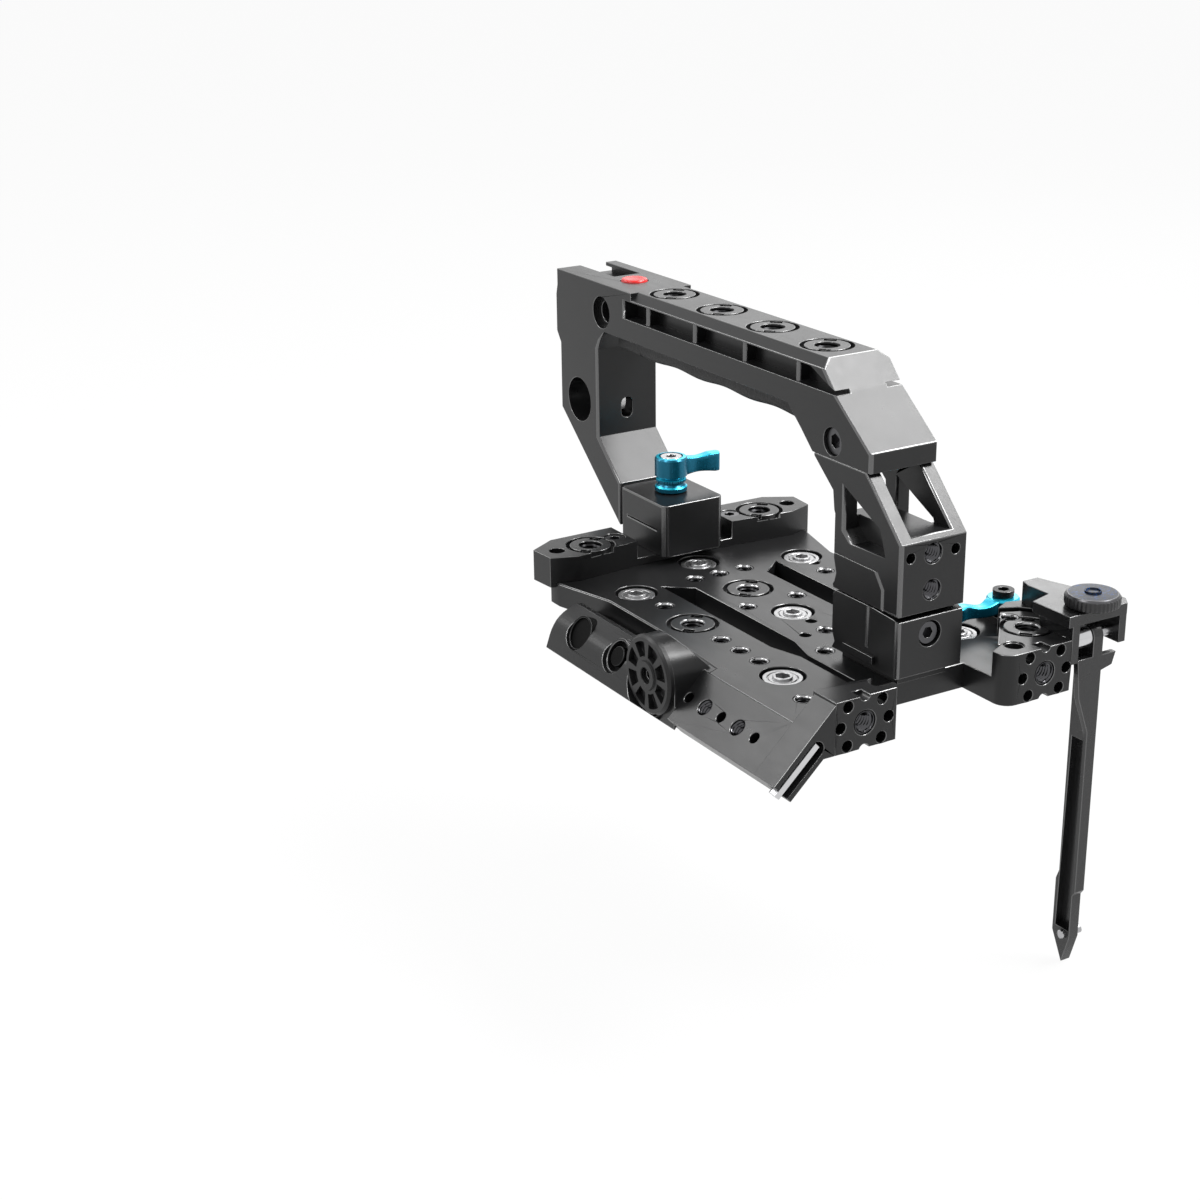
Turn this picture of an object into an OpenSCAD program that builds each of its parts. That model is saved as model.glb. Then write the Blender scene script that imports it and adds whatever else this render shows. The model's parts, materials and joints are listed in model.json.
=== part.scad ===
/* [View] */
// Node to draw, or all of them

/* [Top plate] */
// Thickness of the main plate
plate_t = 10; // [6:0.1:16]
// Half width of the plate at its top face
plate_half = 62.6; // [50:0.1:75]
// Half width of the plate in front of the skirt step
edge_half = 55; // [45:0.1:62]
// Rear edge of the plate
plate_rear = 87.5; // [70:0.1:100]
// Rear edge of the plate between the blocks
rear_notch = 77; // [70:0.1:86]
// Front edge of the plate
plate_front = 84; // [70:0.1:100]
// Chamfer on the plate edges
plate_chamfer = 0.8; // [0.2:0.1:2]
// Rear face of the rear blocks
block_rear = 100.1; // [90:0.1:110]
// Depth of the rear blocks
block_depth = 13.5; // [8:0.1:20]
// Rounding of the inner corner of the rear blocks
block_round = 5.7; // [2:0.1:10]
// Inner side of the rear blocks
block_in = 27.8; // [20:0.1:35]
// Outer side of the rear blocks
block_out = 53.6; // [45:0.1:60]
// Top of the rear blocks
block_top = 19.9; // [15:0.1:26]
// Centre of the bolt ring in each rear block
ring_x = 41; // [30:0.1:50]
// Height of the bolt ring
ring_z = 9.8; // [5:0.1:15]
// Radius of the bolt ring
ring_r = 10.4; // [8:0.1:14]
// Bolt ring hole
ring_hole_d = 4.4; // [3:0.1:6]
// Centre thread in the bolt ring
ring_thread_d = 7.9; // [5:0.1:10]
// Depth of the holes in the rear blocks
ring_depth = 9; // [4:0.1:12]
// Front edge of the right pad
pad_front = 47; // [40:0.1:70]
// Width of the wide run of the grooves
groove_w = 10.8; // [6:0.1:16]
// Centre of the grooves
groove_x = 23.2; // [15:0.1:30]
// Depth of the grooves
groove_depth = 7.8; // [3:0.1:9]
// Width of the narrow run of the grooves
slot_w = 3.1; // [2:0.1:6]
// Depth of the narrow run of the grooves
slot_depth = 3; // [1:0.1:6]
// Quarter inch hole as seen
quarter_d = 6.6; // [5:0.1:8]
// Countersink over a quarter inch hole
quarter_sink = 0.5; // [0.1:0.1:1]
// Three eighths hole as seen
three_d = 9.6; // [8:0.1:11]
// Ring recess around a three eighths hole
three_ring_d = 20.5; // [15:0.1:24]
// Depth of the ring recess
three_ring_depth = 2; // [0.5:0.1:4]
// Width of the ring groove
three_ring_w = 1.6; // [1:0.1:4]
// Depth of blind holes in the plate
blind = 7.5; // [4:0.1:9]
// Locating pin hole
pin_d = 4.6; // [3:0.1:6]

/* [Plate screws] */
// Head of a plate screw
disc_d = 15; // [10:0.1:18]
// Counterbore for a plate screw
disc_bore_d = 17.3; // [12:0.1:20]
// Depth of the counterbore
disc_depth = 5; // [2:0.1:7]
// Height of a plate screw head
disc_h = 4.2; // [2:0.1:6]
// Shank of a plate screw
disc_shank_d = 7.6; // [5:0.1:10]
// Socket in a plate screw
disc_socket = 5; // [3:0.1:6]
// Depth of a screw socket
socket_depth = 2.6; // [1:0.1:4]

/* [Side skirt] */
// Lower edge of the skirt, sideways
skirt_x = 79; // [70:0.1:90]
// Lower edge of the skirt, downward
skirt_drop = 5.4; // [2:0.1:10]
// Thickness of the skirt
skirt_t = 10.2; // [6:0.1:14]
// Recesses in the front of the skirt
port_d = 14.5; // [10:0.1:18]
// Front end of the skirt
skirt_front = 57; // [40:0.1:70]
// Panel hole pitch
panel_pitch = 10.5; // [8:0.1:13]
// Diameter of the rosette
rosette_d = 31; // [26:0.5:34]
// Diameter of the boss behind the rosette
boss_d = 30.5; // [26:0.5:34]
// Where the rosette sits on its boss
rosette_at = [-75.4, -16.2, 6];
// How far behind the middle the flat panel starts
panel_front = 31; // [28:0.5:34]
// Diameter of the small holes in the sloped panel
panel_small = 4.4; // [3:0.1:6]
// First panel hole
panel_first = 34.3; // [25:0.1:45]
// Distance of the panel holes down the slope
panel_down = 11.5; // [6:0.1:16]

/* [Hex key] */
// Hex key across flats
key_af = 4; // [3:0.1:6]
// Width of the hex key slot
key_slot_w = 6; // [5:0.1:8]
// Length of the short leg
key_leg = 21.4; // [8:0.1:30]
// Length of the long leg
key_long = 45; // [30:0.1:80]
// Depth of the key under the slope
key_depth = 5; // [3:0.1:8]
// Distance of the key bend down the slope
key_down = 3; // [1:0.1:10]
// Height of the key over the rear face
key_in = 3.1; // [2:0.1:6]

/* [Front bar] */
// Top of the front bar
bar_top = 21; // [15:0.1:26]
// Half width of the front bar
bar_half = 66; // [55:0.1:75]
// Front of the front bar
bar_front = 99.7; // [90:0.1:110]
// Rear of the front bar
bar_rear = 77; // [70:0.1:85]
// Half width of the low middle
bar_mid = 23.7; // [18:0.1:30]
// Top of the low middle
bar_mid_top = 13.4; // [11:0.1:18]
// Bottom of the tips
bar_tip_z = 8; // [4:0.1:10]

/* [Clamp] */
// Half width of clamp, handle and riser
half_w = 14.85; // [12:0.05:18]
// Rear face of the clamp block
clamp_rear = 71.4; // [65:0.1:78]
// Front face of the clamp block
clamp_front = 107; // [98:0.1:112]
// Top of the clamp block
clamp_top = 36; // [30:0.1:42]
// Distance of the lever hub from the middle
hub_y = 89.4; // [80:0.1:98]
// Hub of the lever
hub_d = 13.8; // [10:0.1:18]
// Top of the lever hub
hub_top = 51.7; // [45:0.1:60]
// Turn of the lever arm
lever_turn = -6.5; // [-30:0.5:30]
// Width of the lever arm
lever_w = 5.6; // [3:0.1:8]
// Underside of the lever arm
lever_low = 42.2; // [38:0.1:46]
// Height of the lever arm
lever_h = 8.6; // [5:0.1:12]
// Reach of the lever arm
lever_reach = 20; // [15:0.1:40]

/* [Handle] */
// Top face of the handle
handle_top = 121.2; // [110:0.1:130]
// Half width of the top face
handle_top_half = 10.9; // [8:0.1:14]
// Start of the handle bevel
bevel_z = 118; // [112:0.1:120]
// Lip line along the handle
lip_z = 109.8; // [104:0.1:116]
// Where the bevel of the handle's top ends at the front
bevel_front = 97; // [90:0.5:105]
// Depth of the side pockets
pocket_depth = 6.5; // [3:0.1:9]
// Front end of the side pockets
pocket_front = 102; // [95:0.5:108]
// Where the roof of the side pockets starts to drop
pocket_rear = -28; // [-32:0.5:-20]
// Top of the side pockets
pocket_top = 117.4; // [114:0.1:118.5]
// Thickness of the ribs in the side pockets
rib_w = 1.6; // [1:0.1:4]
// How far the ribs stand back from the sides
rib_inset = 1.5; // [0.5:0.1:3]
// Half the width of the slot in the front column
slot_r = 2.85; // [2:0.05:4]
// Height of the slot's middle
slot_z = 64.45; // [62:0.05:67]
// Straight length of the slot
slot_long = 3.4; // [0:0.1:6]
// Middle depth of the rubber grip under the beam
grip_deep = 8.2; // [5:0.1:8.6]
// Depth of the finger waves in the grip
grip_wave = 0.5; // [0.2:0.1:1]
// Underside of the handle beam
beam_z = 100.7; // [95:0.1:106]
// Spacing of the locating rings
handle_ring_pitch = 34.83; // [30:0.01:40]
// Front locating ring
handle_ring_y = 86.4; // [80:0.1:92]
// Rod bore
rod_d = 19.3; // [12:0.1:22]
// Rod bore distance forward
rod_y = 140.4; // [130:0.1:150]
// Rod bore height
rod_z = 66.7; // [60:0.1:75]
// Floor of the shoe
shoe_floor = 117.2; // [112:0.1:120]
// Stop edge of the shoe
shoe_back = 129.4; // [120:0.1:135]
// Front of the shoe
shoe_front = 158.1; // [150:0.1:165]
// Width of the shoe slot
shoe_w = 18.6; // [18:0.1:19]
// Opening between the shoe lips
shoe_gap = 13; // [11:0.1:15]
// Middle of the shoe slot, sideways
shoe_x = 3.4; // [-5:0.1:5]
// Width of the left shoe rail
shoe_rail = 5.4; // [2:0.1:8]
// Thickness of the shoe lips
shoe_lip = 1.2; // [0.8:0.1:2]
// Button
button_d = 11.4; // [8:0.1:14]
// Button distance forward
button_y = 118; // [110:0.1:123]
// Button height over the top face
button_h = 1; // [0.8:0.1:3]
// Button travel
button_travel = 1; // [0.5:0.1:2]
// Clearance around moving parts
gap = 0.3; // [0.1:0.05:0.6]
// Running clearance in a bore
fit = 0.05; // [0.01:0.01:0.1]
// Overrun of cuts
over = 1; // [0.5:0.1:3]

/* [Riser] */
// Rear face of the riser
riser_rear = 83.6; // [78:0.1:90]
// Front face of the riser
riser_front = 45.2; // [40:0.1:50]
// Bottom of the riser foot
foot_z = 13.7; // [12:0.1:16]
// Top of the riser foot
foot_top = 36.8; // [30:0.1:42]
// Joint between riser and handle
joint_z = 85.8; // [80:0.1:90]
// Half width of the cut in the riser
cut_half = 9; // [6:0.1:11]
// Screw height in the foot
foot_screw_z = 28.6; // [20:0.1:32]

/* [Pad lever] */
// Lever pivot, sideways
lever_x = 64; // [40:0.1:70]
// Lever pivot, rearward
pad_lever_y = 50; // [45:0.1:80]
// Seat of the lever
pad_seat = 12.7; // [10:0.1:20]
// Reach of the lever
pad_reach = 22; // [10:0.1:40]
// Turn of the lever at rest
pad_turn = 181; // [0:0.5:359]

/* [Side arm] */
// Inner side of the hinge frame
frame_in = 53.6; // [50:0.1:60]
// Outer side of the hinge frame
frame_out = 80; // [70:0.1:90]
// Front of the hinge frame
frame_front = 80; // [75:0.1:90]
// Top of the hinge frame
frame_top = 29.3; // [25:0.1:35]
// Wall of the hinge frame
frame_wall = 3.4; // [2:0.1:5]
// Thickness of the frame lid
frame_lid = 4.4; // [3:0.1:8]
// Middle of the arm
arm_x = 66.8; // [60:0.1:72]
// Thickness of the arm
arm_t = 4.7; // [3:0.1:8]
// Width of the arm
arm_w = 9.5; // [6:0.1:16]
// Rear face of the arm
arm_rear = 100; // [95:0.1:105]
// Lower tip of the arm
arm_tip = 120.6; // [100:0.1:140]
// Height of the arm pivot
pivot_z = 18; // [10:0.1:22]
// Diameter of the pivot pin
pivot_d = 4; // [3:0.1:6]
// Diameter of the knob
knob_d = 21; // [16:0.1:28]
// Height of the knob
knob_h = 6.6; // [5:0.1:14]
// Knob stem
stem_d = 6; // [4:0.1:8]

/* [Hidden] */
$fn = 64;
slope = atan2(plate_t + skirt_drop, skirt_x - plate_half);
slope_len = norm([plate_t + skirt_drop, skirt_x - plate_half]);
arm_y = -arm_rear + arm_w / 2;
inner_bar = bar_mid + over * 2;
pad_top = block_top + plate_chamfer;

// Shared shapes

module between(a, b) translate(a) cube(b - a);

module side_shape(pts, x0, x1)
    translate([x0, 0, 0]) rotate([90, 0, 90]) linear_extrude(x1 - x0) polygon(pts);

module rear_shape(pts, y0, y1)
    translate([0, y1, 0]) rotate([90, 0, 0]) linear_extrude(y1 - y0) polygon(pts);

module flat_shape(pts, z0, z1)
    translate([0, 0, z0]) linear_extrude(z1 - z0) polygon(pts);

module rod(p, d, h) translate(p) cylinder(d = d, h = h);

module rod_y(p, d, h) translate(p) rotate([-90, 0, 0]) cylinder(d = d, h = h);

module rod_x(p, d, h) translate(p) rotate([0, 90, 0]) cylinder(d = d, h = h);

module hexagon(p, af, h) translate(p) cylinder(d = af / cos(30), h = h, $fn = 6);

function both(p) = [p, [-p[0], p[1]]];

quarter_spots = [[-40.3, -9.5], [-40.3, -22.5], [-40.3, -35], [-39.2, 32.4], [-47.3, -72.6],
    [-12, 52], [0, 52], [12.5, 52], [-12, 14], [12, 14], [-0.9, -23], [-13.8, -40],
    [38.7, 31], [40.3, -9.5], [40.3, -22.5], [40.3, -35]];
pin_spots = [[0, -12.2], [-10.6, -23], [40.7, 41.4], [10.6, -23]];
three_spots = [[-40.2, 10.5], [40.2, 10.5], [0, 31]];
disc_spots = [[-41, -51], [41, -51], [-41, 51], [41, 51], [0, 0], [0, 68]];

module three_ring(x, y, z, deep) {
    translate([x, y, z - three_ring_depth]) difference() {
        cylinder(d = three_ring_d, h = three_ring_depth + over);
        translate([0, 0, -over])
            cylinder(d = three_ring_d - three_ring_w * 2, h = three_ring_depth + over * 3);
    }
    rod([x, y, z - deep], three_d, deep + over);
    for (s = [-1, 1]) translate([x, y, z - three_ring_depth])
        rotate([0, 0, 45]) translate([s * three_ring_d * 0.36, 0, 0])
            between([-pin_d / 4, -pin_d / 2, 0], [pin_d / 4, pin_d / 2, three_ring_depth + over]);
}

module quarter_hole(x, y, z, deep) {
    rod([x, y, z - deep], quarter_d, deep + over);
    rod([x, y, z - quarter_sink], quarter_d + quarter_sink * 2, quarter_sink + over);
}

// Top plate

module groove() {
    wide = groove_w / 2;
    thin = slot_w / 2;
    translate([groove_x, 0, 0]) {
        flat_shape([[-wide, 43], [wide, 52], [wide, -26], [thin, -40], [-thin, -40], [-wide, -26]],
            plate_t - groove_depth, plate_t + over);
        flat_shape([[-thin, -39], [thin, -39], [thin, -68.4], [-thin, -68.4]],
            plate_t - slot_depth, plate_t + over);
    }
}

function block_plan(r) = concat(
    [for (a = [180:15:270]) [block_in + r * cos(a), -block_rear + r * (1 + sin(a))]],
    [[block_out, -block_rear], [block_out, -block_rear + block_depth],
    [block_in + over * 2, -block_rear + block_depth * 0.85], [block_in - r, -92.5]]);

function pad_plan() = [[block_in, -88.8], [block_out, -block_rear + block_depth], [60.9, -82.7],
    [62.6, -75.2], [61, -70.5], [57.5, -67], [50.5, -63.7], [45, -70.1]];

function boss_plan() = [[51.6, -61.4], [58.4, -64.7], [62.6, -69.4], [64.4, -74], [70, -72],
    [72, -66], [68, -61], [58, -58]];

module rear_block(s) {
    c = plate_chamfer;
    difference() {
        union() {
            mirror([s < 0 ? 1 : 0, 0, 0]) flat_shape(block_plan(s > 0 ? block_round : over), 0, block_top);
            if (s > 0) {
                flat_shape(pad_plan(), plate_t - over, block_top);
                flat_shape(boss_plan(), plate_t - over, pad_top);
                between([58, -62, over * 2], [71, -42, pad_seat]);
            }
        }
        for (a = [0:45:315])
            rod_y([s * ring_x + ring_r * cos(a), -block_rear - over, ring_z + ring_r * sin(a)],
                ring_hole_d, ring_depth * 0.6 + over);
        rod_y([s * ring_x, -block_rear - over, ring_z], ring_thread_d, ring_depth + over);
        rod_y([s * ring_x, -block_rear - over, ring_z], ring_thread_d + c * 2, c + over);
        if (s < 0) rod([-29.5, -92.6, block_top - slot_depth], ring_thread_d, slot_depth + over);
    }
}

function plate_edge(c) = [[-plate_half + c, -plate_rear], [-plate_half + c, -34.7],
    [-57.8 + c, -32.6], [-edge_half + c, 7], [-edge_half + c, 49], [-62.4 + c, 77],
    [-62.4 + c, plate_front - c], [62.4 - c, plate_front - c], [62.4 - c, 77],
    [edge_half - c, 49], [edge_half - c, 7], [57.8 - c, -32.6], [plate_half - c, -34.7],
    [plate_half - c, -plate_rear], [block_out, -plate_rear], [block_in - block_round, -92.6],
    [block_in - block_round, -rear_notch], [-block_in + block_round, -rear_notch],
    [-block_in + block_round, -92.6], [-block_out, -plate_rear]];

module top_plate() color([0.13, 0.13, 0.14]) difference() {
    union() {
        flat_shape(plate_edge(0), 0, plate_t - plate_chamfer / 2);
        flat_shape(plate_edge(plate_chamfer / 2), plate_t - plate_chamfer, plate_t);
        for (s = [-1, 1]) rear_block(s);
    }
    groove();
    mirror([1, 0, 0]) groove();
    for (p = quarter_spots) quarter_hole(p[0], p[1], plate_t, blind);
    for (p = pin_spots) rod([p[0], p[1], plate_t - blind], pin_d, blind + over);
    for (p = three_spots) three_ring(p[0], p[1], plate_t, blind);
    for (p = disc_spots) {
        rod([p[0], p[1], plate_t - disc_depth], disc_bore_d, disc_depth + over);
        rod([p[0], p[1], -over], disc_shank_d + gap, plate_t + over);
    }
    three_ring(49, -80.6, block_top, blind);
    quarter_hole(49.9, -69.5, block_top, blind);
    quarter_hole(32.7, -92, block_top, slot_depth);
    key_bore();
}

module plate_screws() color([0.75, 0.75, 0.76]) for (p = disc_spots)
    translate([p[0], p[1], plate_t - disc_depth]) difference() {
        union() {
            translate([0, 0, -(plate_t - disc_depth)]) cylinder(d = disc_shank_d, h = plate_t);
            cylinder(d = disc_d, h = disc_h);
        }
        hexagon([0, 0, disc_h - socket_depth], disc_socket, socket_depth + over);
        translate([0, 0, disc_h - over / 2]) difference() {
            cylinder(d = disc_d * 0.78, h = over);
            translate([0, 0, -over]) cylinder(d = disc_d * 0.72, h = over * 3);
        }
    }

// Side skirt and what sits on it

module on_slope(y, down) translate([-plate_half, y, plate_t]) rotate([0, -slope, 0])
    translate([-down, 0, 0]) children();

module key_bore() on_slope(-block_rear, key_down) {
    rod_y([0, -over, -key_depth], key_slot_w, key_in * 2 + over);
    rod_y([0, 0, -key_depth], key_af / cos(30) + gap * 2, key_long + key_in * 2);
    between([-key_leg * 2, -over, -key_depth - key_slot_w / 2],
        [0, key_in * 2, -key_depth + key_slot_w / 2]);
}

module side_skirt() color([0.12, 0.12, 0.13]) difference() {
    union() {
        rear_shape([[-plate_half, plate_t], [-skirt_x, -skirt_drop],
            [-skirt_x + skirt_t * sin(slope), -skirt_drop - skirt_t * cos(slope)],
            [-plate_half + (skirt_t / cos(slope) - plate_t) / tan(slope), 0], [-plate_half, 0]],
            -plate_rear, -panel_front + over / 10);
        rear_shape([[-56, 0], [-56, 3], [-60, 3.2], [-63, 8.2], [-65.5, 8.6], [-67.8, 7.9],
            [-70, 7.1], [-72, 6.1], [-73.8, 4.8], [-75.3, 3.4], [-76.6, 1.6], [-77.7, -0.4],
            [-78.5, -2.3], [-79.2, -4.4], [-80.2, -7.2], [-75, -11.5], [-72, -7], [-68, -3],
            [-plate_half + (skirt_t / cos(slope) - plate_t) / tan(slope), 0]],
            -panel_front, skirt_front);
        difference() {
            rear_shape([[-plate_half + 0.7, 0], [-57.9, 0], [-57.9, plate_t], [-plate_half + 0.7, plate_t]],
                -34.7, -28);
            flat_shape(plate_edge(0), -over, plate_t + over);
        }
        difference() {
            union() {
                rod_x(rosette_at, boss_d, -rosette_at.x - edge_half);
                between([rosette_at.x, rosette_at.y - boss_d / 2, -8],
                    [-63, rosette_at.y, rosette_at.z]);
            }
            flat_shape(plate_edge(0), -over, plate_t);
            translate([-59, rosette_at.y, plate_t]) rotate([0, -43, 0])
                between([0, -20, -30], [30, 20, 30]);
            between([-63, -40, -20], [0, 20, 0]);
        }
        rear_shape([[-block_out, block_top - plate_chamfer], [-skirt_x, -skirt_drop],
            [-skirt_x + skirt_t * sin(slope), -skirt_drop - skirt_t * cos(slope)],
            [-plate_half + (skirt_t / cos(slope) - plate_t) / tan(slope), 0], [-block_out, 0]],
            -block_rear, -plate_rear);
    }
    for (i = [0:4]) on_slope(-panel_first - panel_pitch * i, panel_down)
        rod([0, 0, -blind * 0.7], i % 2 == 0 ? panel_small : quarter_d, blind);
    key_bore();
    between([-100, -panel_front - over, -20], [rosette_at.x, -21, 30]);
    rod_x([-100, rosette_at.y, rosette_at.z], rosette_d + gap * 2, 100 + rosette_at.x);
    on_port(39.5) rod([0, 0, -4], port_d, 20);
    on_port(11.5) rod([0, 0, -4], port_d, 20);
    rod_x([-80, rosette_at.y, rosette_at.z], 6, 16);
    flat_shape(plate_edge(0), 0, plate_t);
}

module on_port(y) translate([-73.5, y, 3]) rotate([0, -62, 0]) children();

module on_rosette() translate(rosette_at) rotate([0, -90, 0]) children();

module rosette() color([0.2, 0.2, 0.21]) on_rosette() difference() {
    union() {
        cylinder(d = rosette_d, h = 1.7);
        translate([0, 0, 1.6]) cylinder(d1 = rosette_d - 0.1, d2 = rosette_d - 2.2, h = 1);
        cylinder(d = 11, h = 3.4);
    }
    rod([0, 0, -over], 6, 12);
    for (a = [22.5:45:337.5]) rotate([0, 0, a]) {
        rod([10.2, 0, 0.5], 5.2, 4);
        between([6, -1.5, 0.5], [10, 1.5, 4]);
    }
}

module rosette_screw() color([0.6, 0.6, 0.61]) on_rosette() difference() {
    translate([0, 0, -10]) cylinder(d = 6, h = 11.6);
    hexagon([0, 0, -0.6], 3, 3);
}

module skirt_port() color([0.3, 0.3, 0.31]) difference() {
    on_port(11.5) translate([0, 0, -4]) cylinder(d = port_d, h = 4.6);
    on_port(11.5) rod([0, 0, -3], port_d - 2.4, 6);
}

module skirt_plug() color([0.08, 0.08, 0.08]) {
    on_port(39.5) difference() {
        translate([0, 0, -4]) cylinder(d = port_d, h = 5);
        rod([0, 0, 0], port_d - 2, 3);
    }
    on_port(11.5) translate([0, 0, -3]) cylinder(d = 8, h = 3.6);
}

module hex_key() color([0.62, 0.62, 0.64]) on_slope(-block_rear, key_down) {
    across = key_af / cos(30);
    translate([-key_leg, key_in, -key_depth]) rotate([0, 90, 0])
        cylinder(d = across, h = key_leg + key_af * 0.4, $fn = 6);
    translate([0, key_in, -key_depth]) rotate([-90, 0, 0])
        cylinder(d = across, h = key_long, $fn = 6);
}

// Front bar and clamp

module front_bar() color([0.15, 0.15, 0.16]) difference() {
    union() {
        for (s = [0, 1]) mirror([s, 0, 0]) {
            flat_shape([[-bar_half + 1.1, bar_rear + 2.5], [-53.7, 75.3], [-bar_mid, 78.1],
                [-bar_mid, bar_front], [-53.9, 99.1], [-bar_half, 91.9]], plate_t, bar_top);
            difference() {
                flat_shape([[-bar_half + 1.1, bar_rear + 2.5], [-53.7, 75.3], [-53.7, 99.1],
                    [-bar_half, 91.9]], bar_tip_z, plate_t);
                between([-plate_half, 0, 0], [plate_half, plate_front + gap, plate_t]);
            }
        }
        between([-inner_bar, 78.1, plate_t], [inner_bar, bar_front, bar_mid_top]);
    }
    for (s = [-1, 1]) {
        three_ring(s * 42.6, 85, bar_top, blind);
        rod([s * 29, 88, bar_top - 4], 9, 5);
        rod([s * 29, 88, 0], 5.2, bar_top);
        rod([s * 58, 86, bar_top - 4], quarter_d, 5);
    }
}

module bar_screws() color([0.2, 0.2, 0.21]) for (s = [-1, 1]) translate([s * 29, 88, plate_t])
    difference() {
        union() {
            cylinder(d = 5.2, h = 8);
            translate([0, 0, 7]) cylinder(d = 8.5, h = 3.6);
        }
        hexagon([0, 0, 8], 4, 4);
    }

module clamp_block() color([0.13, 0.13, 0.14]) difference() {
    flat_shape([[-half_w + 2, clamp_rear], [half_w - 2, clamp_rear], [half_w, clamp_rear + 2],
        [half_w, clamp_front - 2], [half_w - 2, clamp_front], [-half_w + 2, clamp_front],
        [-half_w, clamp_front - 2], [-half_w, clamp_rear + 2]], bar_mid_top, clamp_top);
    between([-20, clamp_rear + 6, 24], [20, clamp_front - 6, 24.6]);
    rod([0, hub_y, bar_mid_top - over], 8.1, 40);
}

module clamp_screw() color([0.55, 0.55, 0.57]) difference() {
    union() {
        rod([0, hub_y, bar_mid_top], 8, clamp_top - bar_mid_top);
        rod([0, hub_y, clamp_top - 0.01], 7, hub_top - clamp_top - 2);
        rod([0, hub_y, hub_top - 3], 9, 2.6);
    }
    hexagon([0, hub_y, hub_top - 2.4], 4, 4);
}

module clamp_lever() color([0.05, 0.45, 0.6]) difference() {
    union() {
        rod([0, hub_y, clamp_top + gap], hub_d, 3);
        rod([0, hub_y, clamp_top + gap + 3], 12, 3);
        rod([0, hub_y, clamp_top + 6], hub_d, hub_top - clamp_top - 6.3);
        translate([0, hub_y, 0]) rotate([0, 0, lever_turn]) {
            between([0, -lever_w / 2, lever_low], [lever_reach, lever_w / 2, lever_low + lever_h]);
            rod([lever_reach, 0, lever_low], lever_w, lever_h);
        }
    }
    rod([0, hub_y, clamp_top], 7 + fit * 2, 20);
    rod([0, hub_y, hub_top - 3 - gap], 9 + gap * 2, 5);
}

// Handle

ring_ys = [for (i = [0:3]) handle_ring_y - handle_ring_pitch * i];

module handle_side() polygon([[-65.1, joint_z], [-65.1, 93.2], [-44, lip_z], [-33.5, handle_top],
    [shoe_back, handle_top], [shoe_back, shoe_floor - 3], [shoe_front, shoe_floor - 3],
    [159.2, 110], [159.2, 93.7], [155.9, 89], [155.9, 60], [clamp_front, 18.2], [clamp_front, clamp_top + 0.8], [124.9, 53.2], [124.9, 92], [121.1, 98.6], [118.6, beam_z],
    [-14.1, beam_z], [-22.6, 93.2], [-30.3, joint_z]]);

module handle_frame() color([0.14, 0.14, 0.15]) difference() {
    union() {
        intersection() {
            translate([-half_w, 0, 0]) rotate([90, 0, 90]) linear_extrude(half_w * 2) handle_side();
            union() {
                rear_shape([[-half_w, 0], [half_w, 0], [half_w, bevel_z], [handle_top_half, handle_top],
                    [-handle_top_half, handle_top], [-half_w, bevel_z]], -70, 170);
                rear_shape([[-half_w, 0], [half_w, 0], [half_w, handle_top], [-half_w, handle_top]],
                    bevel_front, 170);
            }
        }
        between([-half_w, shoe_back, shoe_floor - shoe_rail],
            [half_w, shoe_front, shoe_floor]);
        between([-half_w, shoe_back, shoe_floor - over],
            [shoe_x - shoe_w / 2, shoe_front, handle_top]);
        between([shoe_x + shoe_w / 2, shoe_back, shoe_floor - over], [half_w, shoe_front, handle_top]);
        for (s = [-1, 1]) translate([shoe_x + s * (shoe_w + shoe_gap) / 4, 0, 0])
            between([(shoe_gap - shoe_w) / 4 - over / 10, shoe_back, handle_top - shoe_lip - over / 2],
                [(shoe_w - shoe_gap) / 4 + over / 10, shoe_front, handle_top]);
    }
    for (y = ring_ys) three_ring(0, y, handle_top, 12);
    for (s = [-1, 1]) difference() {
        side_shape([[pocket_front, lip_z], [pocket_front, pocket_top], [pocket_rear, pocket_top],
            [pocket_rear - 16, lip_z + 0.8], [pocket_rear - 22, lip_z + 0.8], [pocket_rear - 22, lip_z]],
            s > 0 ? half_w - pocket_depth : -half_w - over, s > 0 ? half_w + over : -half_w + pocket_depth);
        for (y = ring_ys)
            between([s > 0 ? 0 : -half_w + rib_inset, y - rib_w / 2, lip_z - over],
                [s > 0 ? half_w - rib_inset : 0, y + rib_w / 2, pocket_top + over]);
    }
    rod_x([-20, rod_y, rod_z], rod_d, 40);
    rod_x([-20, 120.8, 108.8], 9, 40);
    rod_x([-half_w - over, 120.8, 108.8], 13.6, 4);
    rod_x([-half_w - over, -42.3, 92.3], 10.6, 6);
    rod_x([-20, -42.3, 92.3], 6, 40);
    rod([0, button_y, handle_top - 8], button_d + gap * 2, 10);
    rear_shape([for (a = [0:15:345]) [slot_r * cos(a), slot_z + slot_r * sin(a)
        + (a > 180 ? -slot_long : slot_long) / 2 - (a == 0 || a == 180 ? slot_long / 2 : 0)]], 118, 132);
    between([-9, 50, beam_z - over], [9, 100, beam_z + 4]);
    between([-9, -10, beam_z - over], [9, 50, beam_z + 4]);
    rod_port();
}

module along_rod_screw() translate([0, 134, 41.35]) rotate([220.6, 0, 0]) children();

module rod_port() along_rod_screw() translate([0, 0, -10]) cylinder(d = 6 + fit * 2, h = 15);

module rod_screw() color([0.05, 0.45, 0.6]) along_rod_screw() difference() {
    union() {
        translate([0, 0, -9]) cylinder(d = 6, h = 11);
        translate([0, 0, gap]) cylinder(d = 20, h = 7);
    }
    for (a = [0:30:330]) rotate([0, 0, a]) translate([10.4, 0, 0]) cylinder(d = 3, h = 8);
}

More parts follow.
